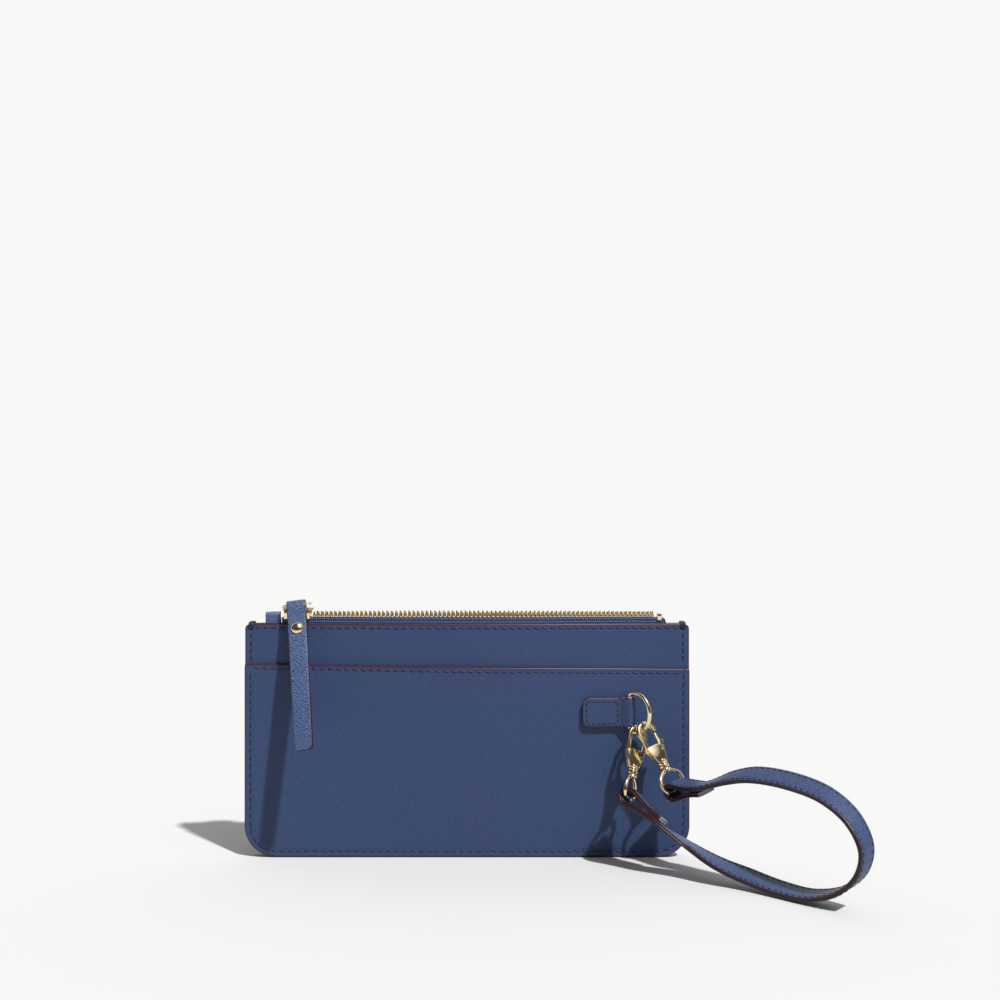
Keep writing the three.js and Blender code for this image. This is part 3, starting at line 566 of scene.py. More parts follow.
def corner_tacks(facing):
    """Thread passed over the top edge where each side seam ends."""
    face = PANEL_AT + LEATHER
    shapes = []
    for side in (-1, 1):
        for step in range(3):
            x = side * (WIDTH / 2 - STITCH_INSET + 0.8 * (step - 1))
            stops = [
                (face - 0.15, -2.4),
                (face + 0.3, -1.6),
                (face + 0.25, -0.3),
                (face - 0.5, 0.55),
                (PANEL_AT - 0.1, 0.1),
            ]
            route = Route([(x, MIDDLE_Y + facing * at, HEIGHT + z) for at, z in stops])
            shapes.append(tube(route.at(np.linspace(0, 1, 13)), 0.42, sides=8))
    return shapes


# ---- materials ----
def new_material(name, **values):
    material = bpy.data.materials.new(name)
    material.use_nodes = True
    shader = material.node_tree.nodes["Principled BSDF"]
    for socket, value in values.items():
        shader.inputs[socket.replace("_", " ")].default_value = value
    return material, material.node_tree.nodes, material.node_tree.links, shader


def node(nodes, kind, **settings):
    made = nodes.new(kind)
    for key, value in settings.items():
        if hasattr(made, key):
            setattr(made, key, value)
        else:
            made.inputs[key].default_value = value
    return made


def hatch(nodes, links, angle, scale, wander):
    """Parallel scratches at an angle across the grain map, which is in millimetres."""
    place = node(nodes, "ShaderNodeUVMap", uv_map="grain")
    turn = node(nodes, "ShaderNodeMapping")
    turn.inputs["Rotation"].default_value = (0, 0, math.radians(angle))
    wave = node(
        nodes, "ShaderNodeTexWave",
        wave_type="BANDS", bands_direction="X", Scale=scale, Distortion=wander, Detail=2.0,
    )
    wave.inputs["Detail Scale"].default_value = 1.4
    links.new(place.outputs["UV"], turn.inputs["Vector"])
    links.new(turn.outputs["Vector"], wave.inputs["Vector"])
    return wave.outputs["Fac"]


def combined(nodes, links, operation, first, second):
    made = node(nodes, "ShaderNodeMath", operation=operation)
    for socket, value in zip(made.inputs, (first, second)):
        if isinstance(value, (int, float)):
            socket.default_value = value
        else:
            links.new(value, socket)
    return made.outputs["Value"]


def ramp(nodes, links, value, stops):
    made = node(nodes, "ShaderNodeValToRGB")
    while len(made.color_ramp.elements) < len(stops):
        made.color_ramp.elements.new(0.5)
    for element, (position, colour) in zip(made.color_ramp.elements, stops):
        element.position = position
        element.color = (*colour, 1)
    links.new(value, made.inputs["Fac"])
    return made.outputs["Color"]


def bump(nodes, links, height, shader, strength, distance):
    made = node(nodes, "ShaderNodeBump", Strength=strength, Distance=distance * MM)
    links.new(height, made.inputs["Height"])
    links.new(made.outputs["Normal"], shader.inputs["Normal"])


def saffiano_leather(name, dark, light, contrast, scale=0.42, wander=5):
    """Cross-hatched leather with a hard, slightly shiny finish."""
    material, nodes, links, shader = new_material(name, Roughness=0.42, Specular_IOR_Level=0.25)
    shader.inputs["Coat Weight"].default_value = 0.04
    shader.inputs["Coat Roughness"].default_value = 0.3
    scratches = [hatch(nodes, links, 38, scale, wander), hatch(nodes, links, -41, 1.1 * scale, wander)]
    height = combined(nodes, links, "MAXIMUM", *scratches)
    low = [max(0, c * (1 - contrast)) for c in dark]
    colour = ramp(nodes, links, height, [(0.25, low), (0.75, dark), (1.0, light)])
    links.new(colour, shader.inputs["Base Color"])
    bump(nodes, links, height, shader, 0.5, 0.12)
    return material


def plain(name, colour, roughness, specular=0.5, metallic=0.0):
    return new_material(
        name, Base_Color=(*colour, 1), Roughness=roughness, Specular_IOR_Level=specular, Metallic=metallic
    )[0]


def woven(name, dark, light, across, along, roughness, specular=0.4):
    """Cloth with ribs in two directions."""
    material, nodes, links, shader = new_material(name, Roughness=roughness, Specular_IOR_Level=specular)
    ribs = [hatch(nodes, links, 0, across, 1.2), hatch(nodes, links, 90, along, 1.2)]
    height = combined(nodes, links, "MULTIPLY", *ribs)
    links.new(ramp(nodes, links, height, [(0.0, dark), (0.7, light)]), shader.inputs["Base Color"])
    bump(nodes, links, height, shader, 0.6, 0.2)
    return material


def polished_gold():
    """Plated metal with the faint unevenness of a cast piece."""
    material, nodes, links, shader = new_material(
        "gold", Roughness=0.09, Metallic=1.0, Base_Color=(0.9, 0.73, 0.45, 1)
    )
    place = node(nodes, "ShaderNodeTexCoord")
    noise = node(nodes, "ShaderNodeTexNoise", Scale=420.0, Detail=1.0)
    links.new(place.outputs["Object"], noise.inputs["Vector"])
    bump(nodes, links, noise.outputs["Fac"], shader, 0.12, 0.2)
    return material


LEATHER_LOOK = saffiano_leather("saffiano", (0.022, 0.04, 0.104), (0.04, 0.068, 0.158), 0.38)
COARSE = {"scale": 0.31, "wander": 9}
STRAP_LOOK = saffiano_leather("saffiano_strap", (0.022, 0.038, 0.1), (0.046, 0.07, 0.16), 0.5, **COARSE)
# The pull's leather is painted lighter than the strap's. This is painted light for the strong key light that
# falls on the upturned pull.
PULL_PAINTED_LIGHT_LOOK = saffiano_leather("saffiano_pull_painted_lighter", (0.032, 0.055, 0.13), (0.09, 0.135, 0.26), 0.5, **COARSE)
EDGE_LOOK = plain("edge_paint", (0.046, 0.005, 0.011), 0.34)
DARK_EDGE_LOOK = plain("dark_edge_paint", (0.024, 0.003, 0.006), 0.35)
THREAD_LOOK = plain("thread", (0.014, 0.018, 0.046), 0.5, specular=0.35)
TAPE_LOOK = woven("zip_tape", (0.018, 0.03, 0.085), (0.075, 0.105, 0.235), 0.32, 0.24, 0.6)
TAB_TAPE_LOOK = woven("start_tab", (0.03, 0.05, 0.12), (0.1, 0.14, 0.29), 0.45, 0.3, 0.35, specular=0.6)
LINING_LOOK = woven("lining", (0.008, 0.012, 0.03), (0.018, 0.025, 0.06), 0.6, 0.6, 0.85, specular=0.2)
RAW_LOOK = plain("raw_ply", (0.28, 0.27, 0.29), 0.8, specular=0.2)
GOLD_LOOK = polished_gold()
STEEL_LOOK = plain("steel", (0.55, 0.55, 0.57), 0.28, metallic=1.0)


# ---- build: walls ----
def panel_seams(x, z):
    return seam_dent(rim_distance(x, z) - STITCH_INSET) + seam_dent(HEIGHT - 2 - z)


def pocket_seams(x, z):
    return seam_dent(rim_distance(x, z) - STITCH_INSET) + seam_dent(pocket_top(x) - 2 - z)


def build_walls():
    leather = [LEATHER_LOOK, EDGE_LOOK]
    for facing, node_name in ((1, "back_panel"), (-1, "front_panel")):
        sheet = wall_sheet(facing, PANEL_AT, LEATHER, wall_bow, flat_top(HEIGHT), seams=panel_seams)
        show_wall(node_name, sheet, leather)
    pocket = wall_sheet(-1, POCKET_AT, LEATHER, pocket_bow, pocket_top, high_radius=0.6, seams=pocket_seams)
    show_wall("front_pocket", pocket, leather)
    for facing, node_name in ((1, "lining_back"), (-1, "lining_front")):
        sheet = wall_sheet(
            facing, INNER, LINING, wall_bow, flat_top(LINING_TOP),
            half=WIDTH / 2 - 2, bottom=4, low_radius=BOTTOM_RADIUS - 2, high_radius=0.5, fine=1.4,
        )
        show_wall(node_name, sheet, [LINING_LOOK])


def build_wall_seams():
    panel_face = PANEL_AT + LEATHER
    pocket_face = POCKET_AT + LEATHER
    side = WIDTH / 2 - STITCH_INSET
    half = side - 1.5
    thread = [THREAD_LOOK]
    above = [wall_seam([(s * side, 107), (s * side, 93)], -1, panel_face, wall_bow) for s in (-1, 1)]
    rim = together(wall_seam(rim_line(88), -1, pocket_face, pocket_bow), *above, *corner_tacks(-1))
    show("thread_rim_front", rim, thread)
    back = together(wall_seam(rim_line(107), 1, panel_face, wall_bow), *corner_tacks(1))
    show("thread_rim_back", back, thread)
    top = [(-half, HEIGHT - 2), (half, HEIGHT - 2)]
    show("thread_top_front", wall_seam(top, -1, panel_face, wall_bow), thread)
    show("thread_top_back", wall_seam(top, 1, panel_face, wall_bow), thread)
    pocket = [(x, pocket_top(x) - 2) for x in (-half, half)]
    show("thread_pocket_top", wall_seam(pocket, -1, pocket_face, pocket_bow), thread)


# ---- build: zip ----
def tape_sheet(facing):
    """The tape: flat below, with a corded edge that the teeth are clamped to."""
    x = np.concatenate([
        TAPE_LEFT + np.array([0, 0.5, 1.2]),
        np.linspace(TAPE_LEFT + 2.5, TAPE_RIGHT - 3, 120),
        TAPE_RIGHT - np.array([2.2, 1.5, 0.9, 0.4, 0]),
    ])
    shares = np.concatenate([np.linspace(0, 0.7, 6), np.linspace(0.74, 1, 14)])
    radius = 2
    into = np.clip(x - TAPE_RIGHT + radius, 0, radius)
    drop = radius - np.sqrt(radius**2 - into**2)
    z = TAPE_BOTTOM + shares[:, None] * (TAPE_TOP - drop[None] - TAPE_BOTTOM)
    x = np.repeat(x[None], len(shares), 0)
    cord = 0.3 * np.exp(-(((z - (TAPE_TOP - drop[None] - 0.55)) / 0.5) ** 2))

    def face(depth, sign):
        y = MIDDLE_Y + facing * (TAPE_AT + depth + sign * cord + wall_bow(x, z) + slackness(x, z))
        return np.stack([x, y, z], -1).reshape(-1, 3)

    rows, columns = x.shape
    points = np.vstack([face(TAPE, 1), face(0, -1)])
    faces = grid_faces(rows, columns)
    faces += [[i + rows * columns for i in f] for f in grid_faces(rows, columns)]
    loop = (
        list(range(columns))
        + [r * columns + columns - 1 for r in range(1, rows)]
        + [(rows - 1) * columns + c for c in range(columns - 2, -1, -1)]
        + [r * columns for r in range(rows - 2, 0, -1)]
    )
    for i, j in zip(loop, loop[1:] + loop[:1]):
        faces.append([i, j, j + rows * columns, i + rows * columns])
    grain = np.vstack([np.stack([x.ravel(), z.ravel()], -1)] * 2)
    return (points, faces), grain


def tooth(x, facing):
    """One tooth: jaws clamped on the cord, a waist, and the head that meshes."""
    levels = [TEETH_TOP - down for down in (2.6, 2.35, 1.8, 1.4, 1.1, 0.8, 0.35, 0.08, 0)]
    widths = [0.95, 1.2, 1.25, 1.1, 0.85, 0.95, 0.95, 0.7, 0.3]
    depths = [1.7, 2.0, 2.0, 1.8, 1.3, 1.35, 1.25, 0.9, 0.4]
    y = MIDDLE_Y + facing * (TAPE_AT + TAPE / 2 + float(wall_bow(np.float64(x), HEIGHT)))
    corner = 0.28
    points = []
    for level, width, depth in zip(levels, widths, depths):
        for sx, sy in ((1, -1), (1, 1), (-1, 1), (-1, -1)):
            for cx, cy in ((0, corner), (corner, 0)) if sx * sy < 0 else ((corner, 0), (0, corner)):
                points.append((
                    x + sx * (width / 2 - min(cx, width / 4)),
                    y + sy * (depth / 2 - min(cy, depth / 4)),
                    level,
                ))
    sides = 8
    last = (len(levels) - 1) * sides
    ends = [list(range(sides))[::-1], [last + i for i in range(sides)]]
    return np.array(points), grid_faces(len(levels), sides, closed=True) + ends


def build_zip():
    for facing, side in ((1, "back"), (-1, "front")):
        shape, grain = tape_sheet(facing)
        show(f"zip_tape_{side}", shape, [TAPE_LOOK], grain=grain, bends_with="wallet")
        shift = TEETH_LEFT + 0.6 + (TOOTH_PITCH / 2 if facing > 0 else 0)
        row = together(*(tooth(shift + i * TOOTH_PITCH, facing) for i in range(TOOTH_COUNT)))
        show(f"zip_teeth_{side}", row, [GOLD_LOOK], sharp=50, bends_with="wallet")
        y = MIDDLE_Y + facing * (TAPE_AT + TAPE / 2)
        left = TEETH_LEFT + (TOOTH_COUNT + 0.75) * TOOTH_PITCH
        stop = rectangle(left, left + 2.2, TAPE_TOP - 1.4, TEETH_TOP - 1)
        show(f"zip_top_stop_{side}", upright(slab(stop, -y - 1, -y + 1, 0.35)), [GOLD_LOOK], sharp=50)
    stop = slab(rectangle(-90.6, -89.2, 113.2, 116.2), -MIDDLE_Y - 1, -MIDDLE_Y + 1, 0.3)
    show("zip_bottom_stop", upright(stop), [GOLD_LOOK], sharp=50)
    leaf = [(1.4, 109.5), (1.6, 113.5), (1.5, 115.5)]
    fold = [(-y, z) for y, z in leaf] + [(0, 116.25)] + leaf[::-1]
    ribbon = Ribbon([(-92.9, MIDDLE_Y + y, z) for y, z in fold], [(1, 0, 0.04)] * len(fold))
    section, painted = flat_section(7.1, -0.22, 0.22, 0.12)
    points, faces, grain, _ = band(ribbon, section, painted, step=0.5)
    show("zip_start_tab", (points, faces), [TAB_TAPE_LOOK], grain=grain)


def rectangle(left, right, low, high):
    return [(left, low), (right, low), (right, high), (left, high)]


def upright(shape):
    """Turns a slab drawn in X and Z, and thickened towards the front, into its place."""
    points, faces = shape
    return np.stack([points[:, 0], -points[:, 2], points[:, 1]], -1), faces


# ---- build: slider and pull ----
def moved(shape, x=0, y=0, z=0):
    points, faces = shape
    return points + np.array([x, y, z]), faces


def block(low, high, bevel):
    return slab(rectangle(low[0], high[0], low[1], high[1]), low[2], high[2], bevel, segments=2)


def slider_body():
    half, narrow, wide = SLIDER_LENGTH / 2, 2.9, 3.8
    side = [
        (-half, -narrow + 1),
        (-half + 1, -narrow),
        (half - 4, -wide),
        (half - 1.5, -wide),
        (half, -wide + 1.8),
    ]
    outline = side + [(x, -y) for x, y in reversed(side)]
    cover = slab(outline, SLIDER_TOP - 1.1, SLIDER_TOP, 0.4)
    flanges = [
        block([-half + 1, near, 113.2], [half - 1.6, far, 118], 0.25)
        for near, far in ((-3.2, -2.4), (2.4, 3.2))
    ]
    # Thinner than the CAD part's divider, which is 1.4 mm thick and meets the closed teeth.
    divider = block([half - 5, -0.22, 112.6], [half - 1, 0.22, 118], 0.08)
    sole = block([-half + 1.5, -0.7, 112.4], [half - 1, 0.7, 113.5], 0.25)
    return moved(together(cover, *flanges, divider, sole), SLIDER_X, MIDDLE_Y)


def slider_bail():
    foot = SLIDER_TOP + 0.3
    over = arc((-1.2, foot + 1.2), 1.7, 180, 90, 8) + arc((1.2, foot + 1.2), 1.7, 90, 0, 8)
    under = arc((1, foot + 1), 1, 0, 90, 6) + arc((-1, foot + 1), 1, 90, 180, 6)
    outline = [(-2.9, foot)] + over + [(2.9, foot), (2, foot)] + under + [(-2, foot)]
    points, faces = slab(outline, -1.5, 1.5, 0.28)
    return np.stack([points[:, 2] + SLIDER_X, points[:, 0] + MIDDLE_Y, points[:, 1]], -1), faces


PULL_DOWN = unit([math.sin(PULL_TILT), -math.sin(PULL_LEAN), -math.cos(PULL_LEAN)])
PULL_SIDE = unit([-PULL_DOWN[2], 0, PULL_DOWN[0]])
PULL_OUT = unit(np.cross(PULL_DOWN, PULL_SIDE))
LINK_BACK = np.array([SLIDER_X, MIDDLE_Y + 0.4, SLIDER_TOP + 1.25])
LINK_FRONT = np.array([SLIDER_X, MIDDLE_Y - 6.2, 120.2])


def pull_at(down, out):
    return LINK_FRONT + down * PULL_DOWN + out * PULL_OUT


def pull_side(down, out):
    """The pull's width, which turns on the long front leaf between the rivet and its lower end."""
    turn = PULL_TWIST * max(0, down - RIVET_DROP) / (PULL_LENGTH - RIVET_DROP) if out > 0 else 0
    return math.cos(turn) * PULL_SIDE + math.sin(turn) * PULL_OUT


def pull_link():
    corners = [(1, 0), (0, 0.15), (0, 0.85), (1, 1)]
    right = [(LINK_HALF - inset, along) for inset, along in corners]
    left = [(inset - LINK_HALF, along) for inset, along in reversed(corners)]
    reach = LINK_FRONT - LINK_BACK
    stops = [LINK_BACK + reach * along + PULL_SIDE * x for x, along in right + left + right[:2]]
    line = Route(stops).at(np.linspace(1 / 9, 1, 90))[:-1]
    return tube(line, LINK_WIRE, sides=14, closed=True)


def pull_ribbon():
    leaf = (PULL_THICKNESS + 0.3) / 2
    fold = LINK_WIRE + 0.45 + PULL_THICKNESS / 2
    stops = [(RIVET_DROP + 5, -leaf), (RIVET_DROP, -leaf), (5, -leaf - 0.3), (0.5, -fold), (-fold, 0),
             (0.5, fold), (5, leaf + 0.3), (RIVET_DROP, leaf), (RIVET_DROP + 20, leaf), (PULL_LENGTH, leaf)]
    return Ribbon([pull_at(*stop) for stop in stops], [pull_side(*stop) for stop in stops])


def on_axis(shape, origin, axis):
    """Places a turned shape with its own axis along axis."""
    points, faces = shape
    across = square_to(np.eye(3)[np.argmin(np.abs(axis))], axis)
    return origin + points @ np.array([across, axis, np.cross(across, axis)]), faces


def build_slider():
    show("slider_body", slider_body(), [GOLD_LOOK], sharp=35)
    show("slider_bail", slider_bail(), [GOLD_LOOK], sharp=35)
    show("pull_link", pull_link(), [GOLD_LOOK])
    section, painted = flat_section(PULL_WIDTH, -PULL_THICKNESS / 2, PULL_THICKNESS / 2, 0.35)
    points, faces, grain, paint = band(pull_ribbon(), section, painted, start_round=1.5, end_round=1.8)
    # The pull's faces use the leather painted lighter to stand for its strong lighting.
    show("pull_strip", (points, faces), [PULL_PAINTED_LIGHT_LOOK, DARK_EDGE_LOOK], grain=grain, paint=paint)
    dome = [(2.85 * math.cos(a), 0.2 + 1.35 * math.sin(a)) for a in np.linspace(0, math.pi / 2, 10)]
    cap = turned([(0, -0.1), (2.6, -0.1), (2.85, 0.05)] + dome)
    front = on_axis(cap, pull_at(RIVET_DROP, PULL_THICKNESS + 0.15), PULL_OUT)
    show("pull_rivet_cap", front, [GOLD_LOOK], sharp=50)
    disc = turned([(0, -1.05), (2.2, -1.05), (2.55, -0.8), (2.6, -0.35), (0, -0.35)])
    back = on_axis(disc, pull_at(RIVET_DROP, -PULL_THICKNESS - 0.15), PULL_OUT)
    show("pull_rivet_back", back, [GOLD_LOOK], sharp=50)


# ---- build: tab and D-ring ----
TAB_FACE_Y = FRONT_FACE_Y - 0.6
LOOP_MIDDLE = D_WIRE + 0.25 + 0.525
LOOP_OUTER = LOOP_MIDDLE + 0.525
D_BAR = np.array([RING_X, TAB_FACE_Y - LOOP_OUTER, TAB_BOTTOM + TAB_HEIGHT / 2])
D_OUT = np.array([math.cos(D_SWING), -math.sin(D_SWING), 0])


def d_at(out, up):
    return D_BAR + out * D_OUT + np.array([0, 0, up])


def follow_pocket(points):
    """The tab lies on the bowed pocket, but its eye keeps its shape."""
    shift = np.maximum(0, pocket_bow(points[:, 0], D_BAR[2]) - 0.3)
    return points - np.stack([0 * shift, shift, 0 * shift], -1)


def build_tab():
    eye = arc((RING_X, -LOOP_OUTER), LOOP_MIDDLE, 90, -90, 6)
    rear = [(TAB_LEFT, -0.525), (64, -0.525), (72, -0.525)]
    front = [(74.9, -3.1), (72.6, -1.95), (70, -1.78), (64, -1.78), (TAB_LEFT, -1.78)]
    stops = [(x, TAB_FACE_Y + y, D_BAR[2]) for x, y in rear + eye + front]
    ribbon = Ribbon(stops, [(0, 0, 1)] * len(stops))
    section, painted = flat_section(TAB_HEIGHT, -0.525, 0.525, 0.3)
    points, faces, grain, paint = band(
        ribbon, section, painted, start_round=TAB_CORNER, end_round=TAB_CORNER, step=0.6
    )
    tab = (follow_pocket(points), faces)
    show("ring_tab", tab, [LEATHER_LOOK, EDGE_LOOK], grain=grain, paint=paint)

    inset = 1.7
    left, right = TAB_LEFT + inset, 71.5
    bottom, top = TAB_BOTTOM + inset, TAB_BOTTOM + TAB_HEIGHT - inset
    corners = [(left, bottom), (right, bottom), (right, top), (left, top), (left, bottom)]
    runs = []
    for first, second in zip(corners, corners[1:]):
        middles, along, step = spaced(np.array([first, second], float), 2.6)
        y = np.full(len(middles), TAB_FACE_Y - 2.4)
        places = np.stack([middles[:, 0], y, middles[:, 1]], -1)
        alongs = np.stack([along[:, 0], 0 * y, along[:, 1]], -1)
        runs.append(stitches(follow_pocket(places), alongs, np.repeat([[0, -1, 0]], len(y), 0), step * 0.8))
    show("thread_tab", together(*runs), [THREAD_LOOK])


def build_d_ring():
    bow = [d_at(D_STRAIGHT + (D_DEPTH - D_STRAIGHT) * math.cos(a), D_HALF_HEIGHT * math.sin(a))
           for a in np.radians(np.linspace(90, -90, 9))]
    corner = 1
    top = [d_at(0, D_HALF_HEIGHT - corner), d_at(corner, D_HALF_HEIGHT)]
    foot = [d_at(corner, -D_HALF_HEIGHT), d_at(0, corner - D_HALF_HEIGHT)]
    hoop = Route(top + bow + foot).at(np.linspace(0, 1, 110))
    bar = np.linspace(foot[1], top[0], 20)[1:-1]
    show("d_ring", tube(np.vstack([hoop, bar]), D_WIRE, sides=20, closed=True), [GOLD_LOOK])


# ---- build: swivel clasps ----
class Clasp:
    """A clasp's own drawing: u across, v up along it from the ring's wire, w through its thickness."""

    def __init__(self, at, down, facing):
        self.at = at
        self.up = -unit(down)
        self.out = square_to(facing, self.up)
        self.across = np.cross(self.up, self.out)

    def point(self, u, v, w):
        return self.at + u * self.across + v * self.up + w * self.out

    def place(self, shape):
        points, faces = shape
        return self.at + points @ np.array([self.across, self.up, self.out]), faces

    def crossbar(self, side):
        """The middle of the wire that the strap folds round, its direction, and its turn about the clasp."""
        flat = square_to(side, self.up)
        return self.point(0, -EYE_DROP, 0), flat, math.atan2(-flat @ self.out, flat @ self.across)


CLASP_A = Clasp(d_at(5, -D_HALF_HEIGHT), [-0.17, -0.4, -0.9], [0.35, -0.93, 0])
CLASP_B = Clasp(d_at(9.4, -6.8), [0.44, -0.26, -0.86], [0.35, -0.8, 0.48])
BAR_A = CLASP_A.crossbar([0.405, 0.86, -0.42])
BAR_B = CLASP_B.crossbar([0.72, 0.6, 0.3])


def clasp_hook():
    """The hook, its flat base with two cheeks beside the gate, and the turned collar."""
    centre = (0, -1.6)
    hook = [(-5, -10)] + arc(centre, 5, 180, -14, 30) + arc(centre, 3.15, -14, 180, 24) + [(-3.15, -10)]
    base = [(-5, -9), (-2.4, -17), (2.4, -17), (4.4, -10.2), (1.2, -8.4), (-3.15, -8.4)]
    spine = [
        (-5, -9), (-2.4, -17), (2.4, -17), (2.2, -13.4), (0.9, -13.2),
        (0.9, -10.5), (-1.4, -10.5), (-1.4, -8.4), (-3.15, -8.4),
    ]
    cheeks = [slab(base, low, low + 0.8, 0.25) for low in (-1.7, 0.9)]
    filler = slab(spine, -1, 1, 0.05, segments=1)
    collar = turned([
        (0, -19.9), (2.2, -19.9), (2.5, -19.6), (2.5, -18.9), (2.2, -18.6), (2.15, -18.3), (2.45, -18),
        (2.5, -17.4), (2.35, -17.1), (2.05, -16.8), (2.2, -16.4), (2.1, -16), (0, -16),
    ])
    return together(slab(hook, -1.15, 1.15, 0.5, segments=4), *cheeks, filler, collar)


def clasp_gate():
    lever = [
        (1.7, -12.4), (3.9, -12.4), (4.5, -9.4), (6, -8.6), (6.15, -8), (6, -7.4),
        (4.7, -6.8), (4.3, -3.4), (3.1, -3.2), (2.9, -8.6), (2, -9.2),
    ]
    return slab(lever, -0.6, 0.6, 0.22)


def clasp_pin():
    return tube([(2.7, -11.6, w) for w in (-1.75, -1.7, 0, 1.7, 1.75)], 0.45, sides=16)


def clasp_spring():
    turns = np.linspace(0, 6 * math.pi, 73)
    coil = [(-1 + 2.5 * i / 72, -9.65 + 0.42 * math.cos(a), 0.42 * math.sin(a)) for i, a in enumerate(turns)]
    return tube(coil, 0.14, sides=6)


def clasp_eye(angle):
    post = turned([
        (0, -22.2), (1.2, -22.15), (1.9, -21.7), (2.3, -21.1), (2.35, -20.8), (2.1, -20.25),
        (0.9, -20.2), (0.9, -15.2), (1.5, -15.2), (1.5, -14.2), (0, -14.2),
    ])
    half = [(0.6, -21), (3.6, -22.3), (6.2, -25), (6.4, -29), (4.8, -EYE_DROP)]
    stops = [(-u, v, 0) for u, v in half] + [(0, -EYE_DROP, 0)] + [(u, v, 0) for u, v in reversed(half)]
    wire = tube(Route(stops).at(np.linspace(0, 1, 90)), EYE_WIRE, sides=16)
    points, faces = together(post, wire)
    cosine, sine = math.cos(angle), math.sin(angle)
    u, v, w = points.T
    return np.stack([u * cosine + w * sine, v, w * cosine - u * sine], -1), faces


def build_clasps():
    for letter, clasp, bar in (("a", CLASP_A, BAR_A), ("b", CLASP_B, BAR_B)):
        gold = [GOLD_LOOK]
        show(f"clasp_{letter}_hook", clasp.place(clasp_hook()), gold, sharp=40)
        show(f"clasp_{letter}_gate", clasp.place(clasp_gate()), gold, sharp=40)
        show(f"clasp_{letter}_eye", clasp.place(clasp_eye(bar[2])), gold, sharp=50)
        show(f"clasp_{letter}_gate_pin", clasp.place(clasp_pin()), [STEEL_LOOK], sharp=50)
        show(f"clasp_{letter}_gate_spring", clasp.place(clasp_spring()), [STEEL_LOOK])


# ---- build: wrist strap ----
FOLD = 3.4
FOLD_STOPS = [
    (20, 1.25), (12, 1.4), (5, 2.7), (0.6, FOLD), (0.2 - FOLD, 0),
    (0.6, -FOLD), (5, -2.7), (12, -1.6), (19.5, -1.4),
]
STRAP_LOOP = [
    ((101, -43, 14.4), (0.5, 0.85, -0.15)),
    ((112.7, -52, 8.8), (0.58, 0.76, 0.12)),
    ((124.5, -59.5, 5.2), (0.63, 0.7, 0.28)),
    ((136, -70, 3), (0.65, 0.7, 0.26)),
    ((147, -81, 3.2), (0.67, 0.7, 0.2)),
    ((157.5, -90.5, 8), (0.68, 0.71, 0.14)),
    ((164, -96.5, 16.8), (0.69, 0.71, 0.12)),
    ((165.6, -98, 27), (0.69, 0.7, 0.16)),
    ((161.4, -93.8, 38), (0.67, 0.67, 0.28)),
    ((152.6, -85, 46), (0.64, 0.64, 0.4)),
    ((140.4, -73, 49.6), (0.6, 0.62, 0.46)),
    ((127, -60, 49.8), (0.6, 0.6, 0.46)),
    ((118.5, -50.8, 46.8), (0.64, 0.61, 0.4)),
]


def fold_route(bar, away, inward):
    """The strap's end, round the crossbar and back along the loop's inner side."""
    centre, side, _ = bar
    out = square_to(away, side)
    inner = np.asarray(inward, float)
    inner = unit(inner - inner @ side * side - inner @ out * out)
    return [(centre + along * out + across * inner, side) for along, across in FOLD_STOPS]


def strap_ribbon():
    first = fold_route(BAR_A, [0.77, -0.285, -0.573], [0.46, -0.1, 0.88])
    last = fold_route(BAR_B, [0.6, -0.76, 0.2], [0.1, -0.1, -0.95])[::-1]
    stops = first + STRAP_LOOP + last
    return Ribbon([place for place, _ in stops], [side for _, side in stops])


def strap_stitches(ribbon, across, out, start, end):
    count = round((end - start) / STRAP_PITCH)
    middles = start + (np.arange(count) + 0.5) * (end - start) / count
    place, along, side, outward = ribbon.frame(middles)
    places = place + across * side + (out * (STRAP_HALF_THICKNESS - 0.02)) * outward
    return stitches(places, along, out * outward, STRAP_PITCH * 0.78, radius=0.33)


def build_strap():
    ribbon = strap_ribbon()
    looks = [STRAP_LOOK, DARK_EDGE_LOOK, RAW_LOOK]
    for node_name, low, high in (("strap_outer_ply", -1.0, -0.01), ("strap_inner_ply", 0.01, 1.0)):
        section, painted = flat_section(STRAP_WIDTH, low, high, 0.28, groove_at=STITCH_ROW, columns=16)
        points, faces, grain, paint = band(ribbon, section, painted, step=1.0)
        show(node_name, (points, faces), looks, grain=grain, paint=paint)
    folds = len(FOLD_STOPS)
    start, end = ribbon.distance_at_stop(folds), ribbon.distance_at_stop(ribbon.line.count - 1 - folds)
    for node_name, across in (("strap_thread_near", -STITCH_ROW), ("strap_thread_far", STITCH_ROW)):
        outer = strap_stitches(ribbon, across, -1, 1.5, ribbon.length - 1.5)
        inner = strap_stitches(ribbon, across, 1, start, end)
        show(node_name, together(outer, inner), [THREAD_LOOK])


# ---- the studio ----
WHITE = 0.939
KEY_TRAVEL = Vector((-0.43, 0.56, -1)).normalized()


def build_floor():
    reach = 40
    mesh = bpy.data.meshes.new("floor")
    height = CAD_BOUNDS[0][2] - 0.0002
    corners = [(x, y, height) for x, y in rectangle(-reach, reach, -reach, reach)]
    mesh.from_pydata(corners, [], [(0, 1, 2, 3)])
    mesh.materials.append(plain("floor", (0.493, 0.493, 0.491), 1.0, specular=0.0))
    floor = bpy.data.objects.new("floor", mesh)
    bpy.context.scene.collection.objects.link(floor)


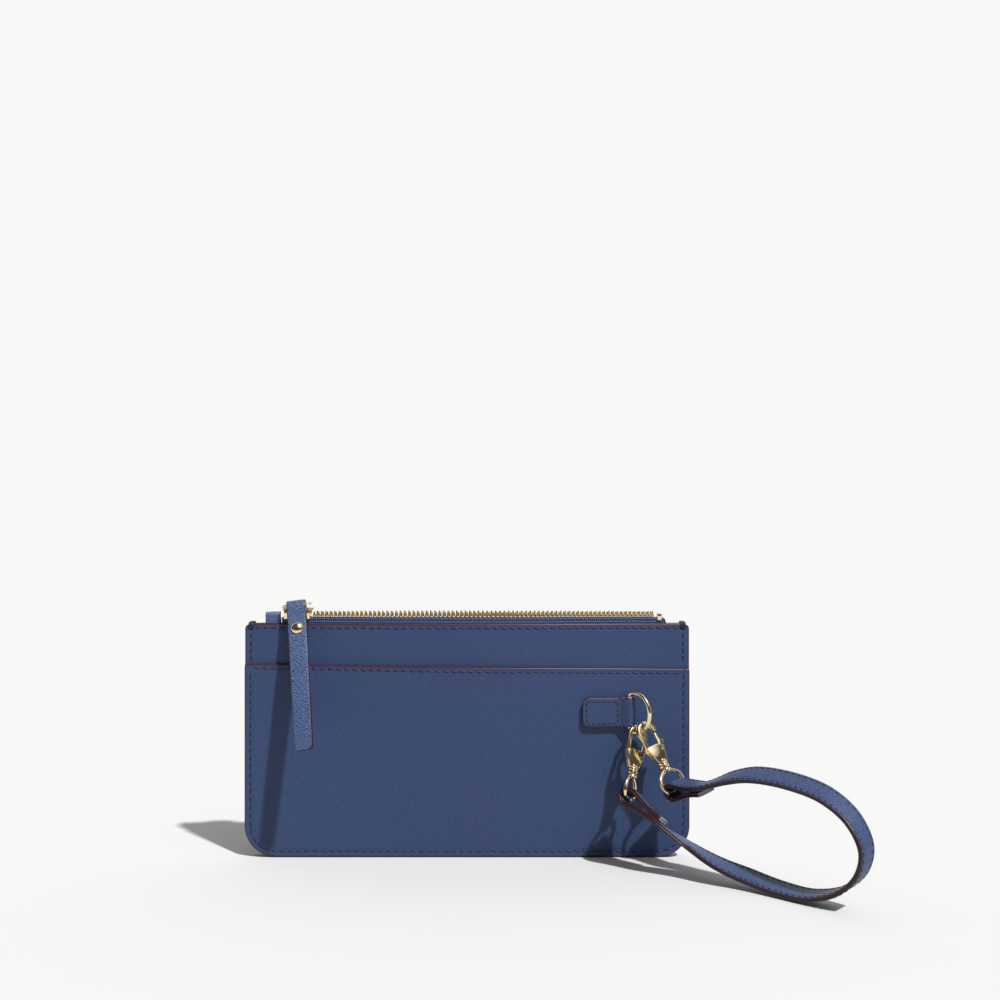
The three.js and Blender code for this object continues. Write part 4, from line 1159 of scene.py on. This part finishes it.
def build_world():
    """White behind and on the floor, dimmer in front, with a broad bright patch round the key light."""
    world = bpy.data.worlds.new("studio")
    bpy.context.scene.world = world
    world.use_nodes = True
    nodes, links = world.node_tree.nodes, world.node_tree.links
    shader = nodes["Background"]
    place = node(nodes, "ShaderNodeTexCoord")
    parts = node(nodes, "ShaderNodeSeparateXYZ")
    links.new(place.outputs["Generated"], parts.inputs["Vector"])
    # The third input stays at its own 0.5, so this runs from 0 in front to 1 behind.
    depth = combined(nodes, links, "MULTIPLY_ADD", parts.outputs["Y"], 0.5)
    behind = ramp(nodes, links, depth, [(0.42, (0.08, 0.08, 0.075)), (0.72, (WHITE, WHITE, WHITE))])
    dot = node(nodes, "ShaderNodeVectorMath", operation="DOT_PRODUCT")
    dot.inputs[1].default_value = -KEY_TRAVEL
    links.new(place.outputs["Generated"], dot.inputs[0])
    glow = ramp(nodes, links, dot.outputs["Value"], [(0.86, (0, 0, 0)), (0.95, (1.2, 1.2, 1.2))])
    both = node(nodes, "ShaderNodeMix", data_type="RGBA", blend_type="ADD")
    both.inputs["Factor"].default_value = 1
    links.new(behind, both.inputs[6])
    links.new(glow, both.inputs[7])
    links.new(both.outputs[2], shader.inputs["Color"])


def build_key_light():
    data = bpy.data.lights.new("key", "SUN")
    data.energy = 5.0
    data.angle = math.radians(2.5)
    light = bpy.data.objects.new("key", data)
    light.rotation_euler = KEY_TRAVEL.to_track_quat("-Z", "Y").to_euler()
    bpy.context.scene.collection.objects.link(light)


def build_camera():
    data = bpy.data.cameras.new("camera")
    data.lens = 49
    data.sensor_width = 36
    camera = bpy.data.objects.new("camera", data)
    camera.location = (0.0157, -0.65515, 0.17)
    camera.rotation_euler = (math.radians(90), 0, 0)
    bpy.context.scene.collection.objects.link(camera)
    bpy.context.scene.camera = camera


build_walls()
build_wall_seams()
build_zip()
build_slider()
build_tab()
build_d_ring()
build_clasps()
build_strap()
build_floor()
build_world()
build_key_light()
build_camera()
bpy.context.scene.view_settings.view_transform = "Standard"
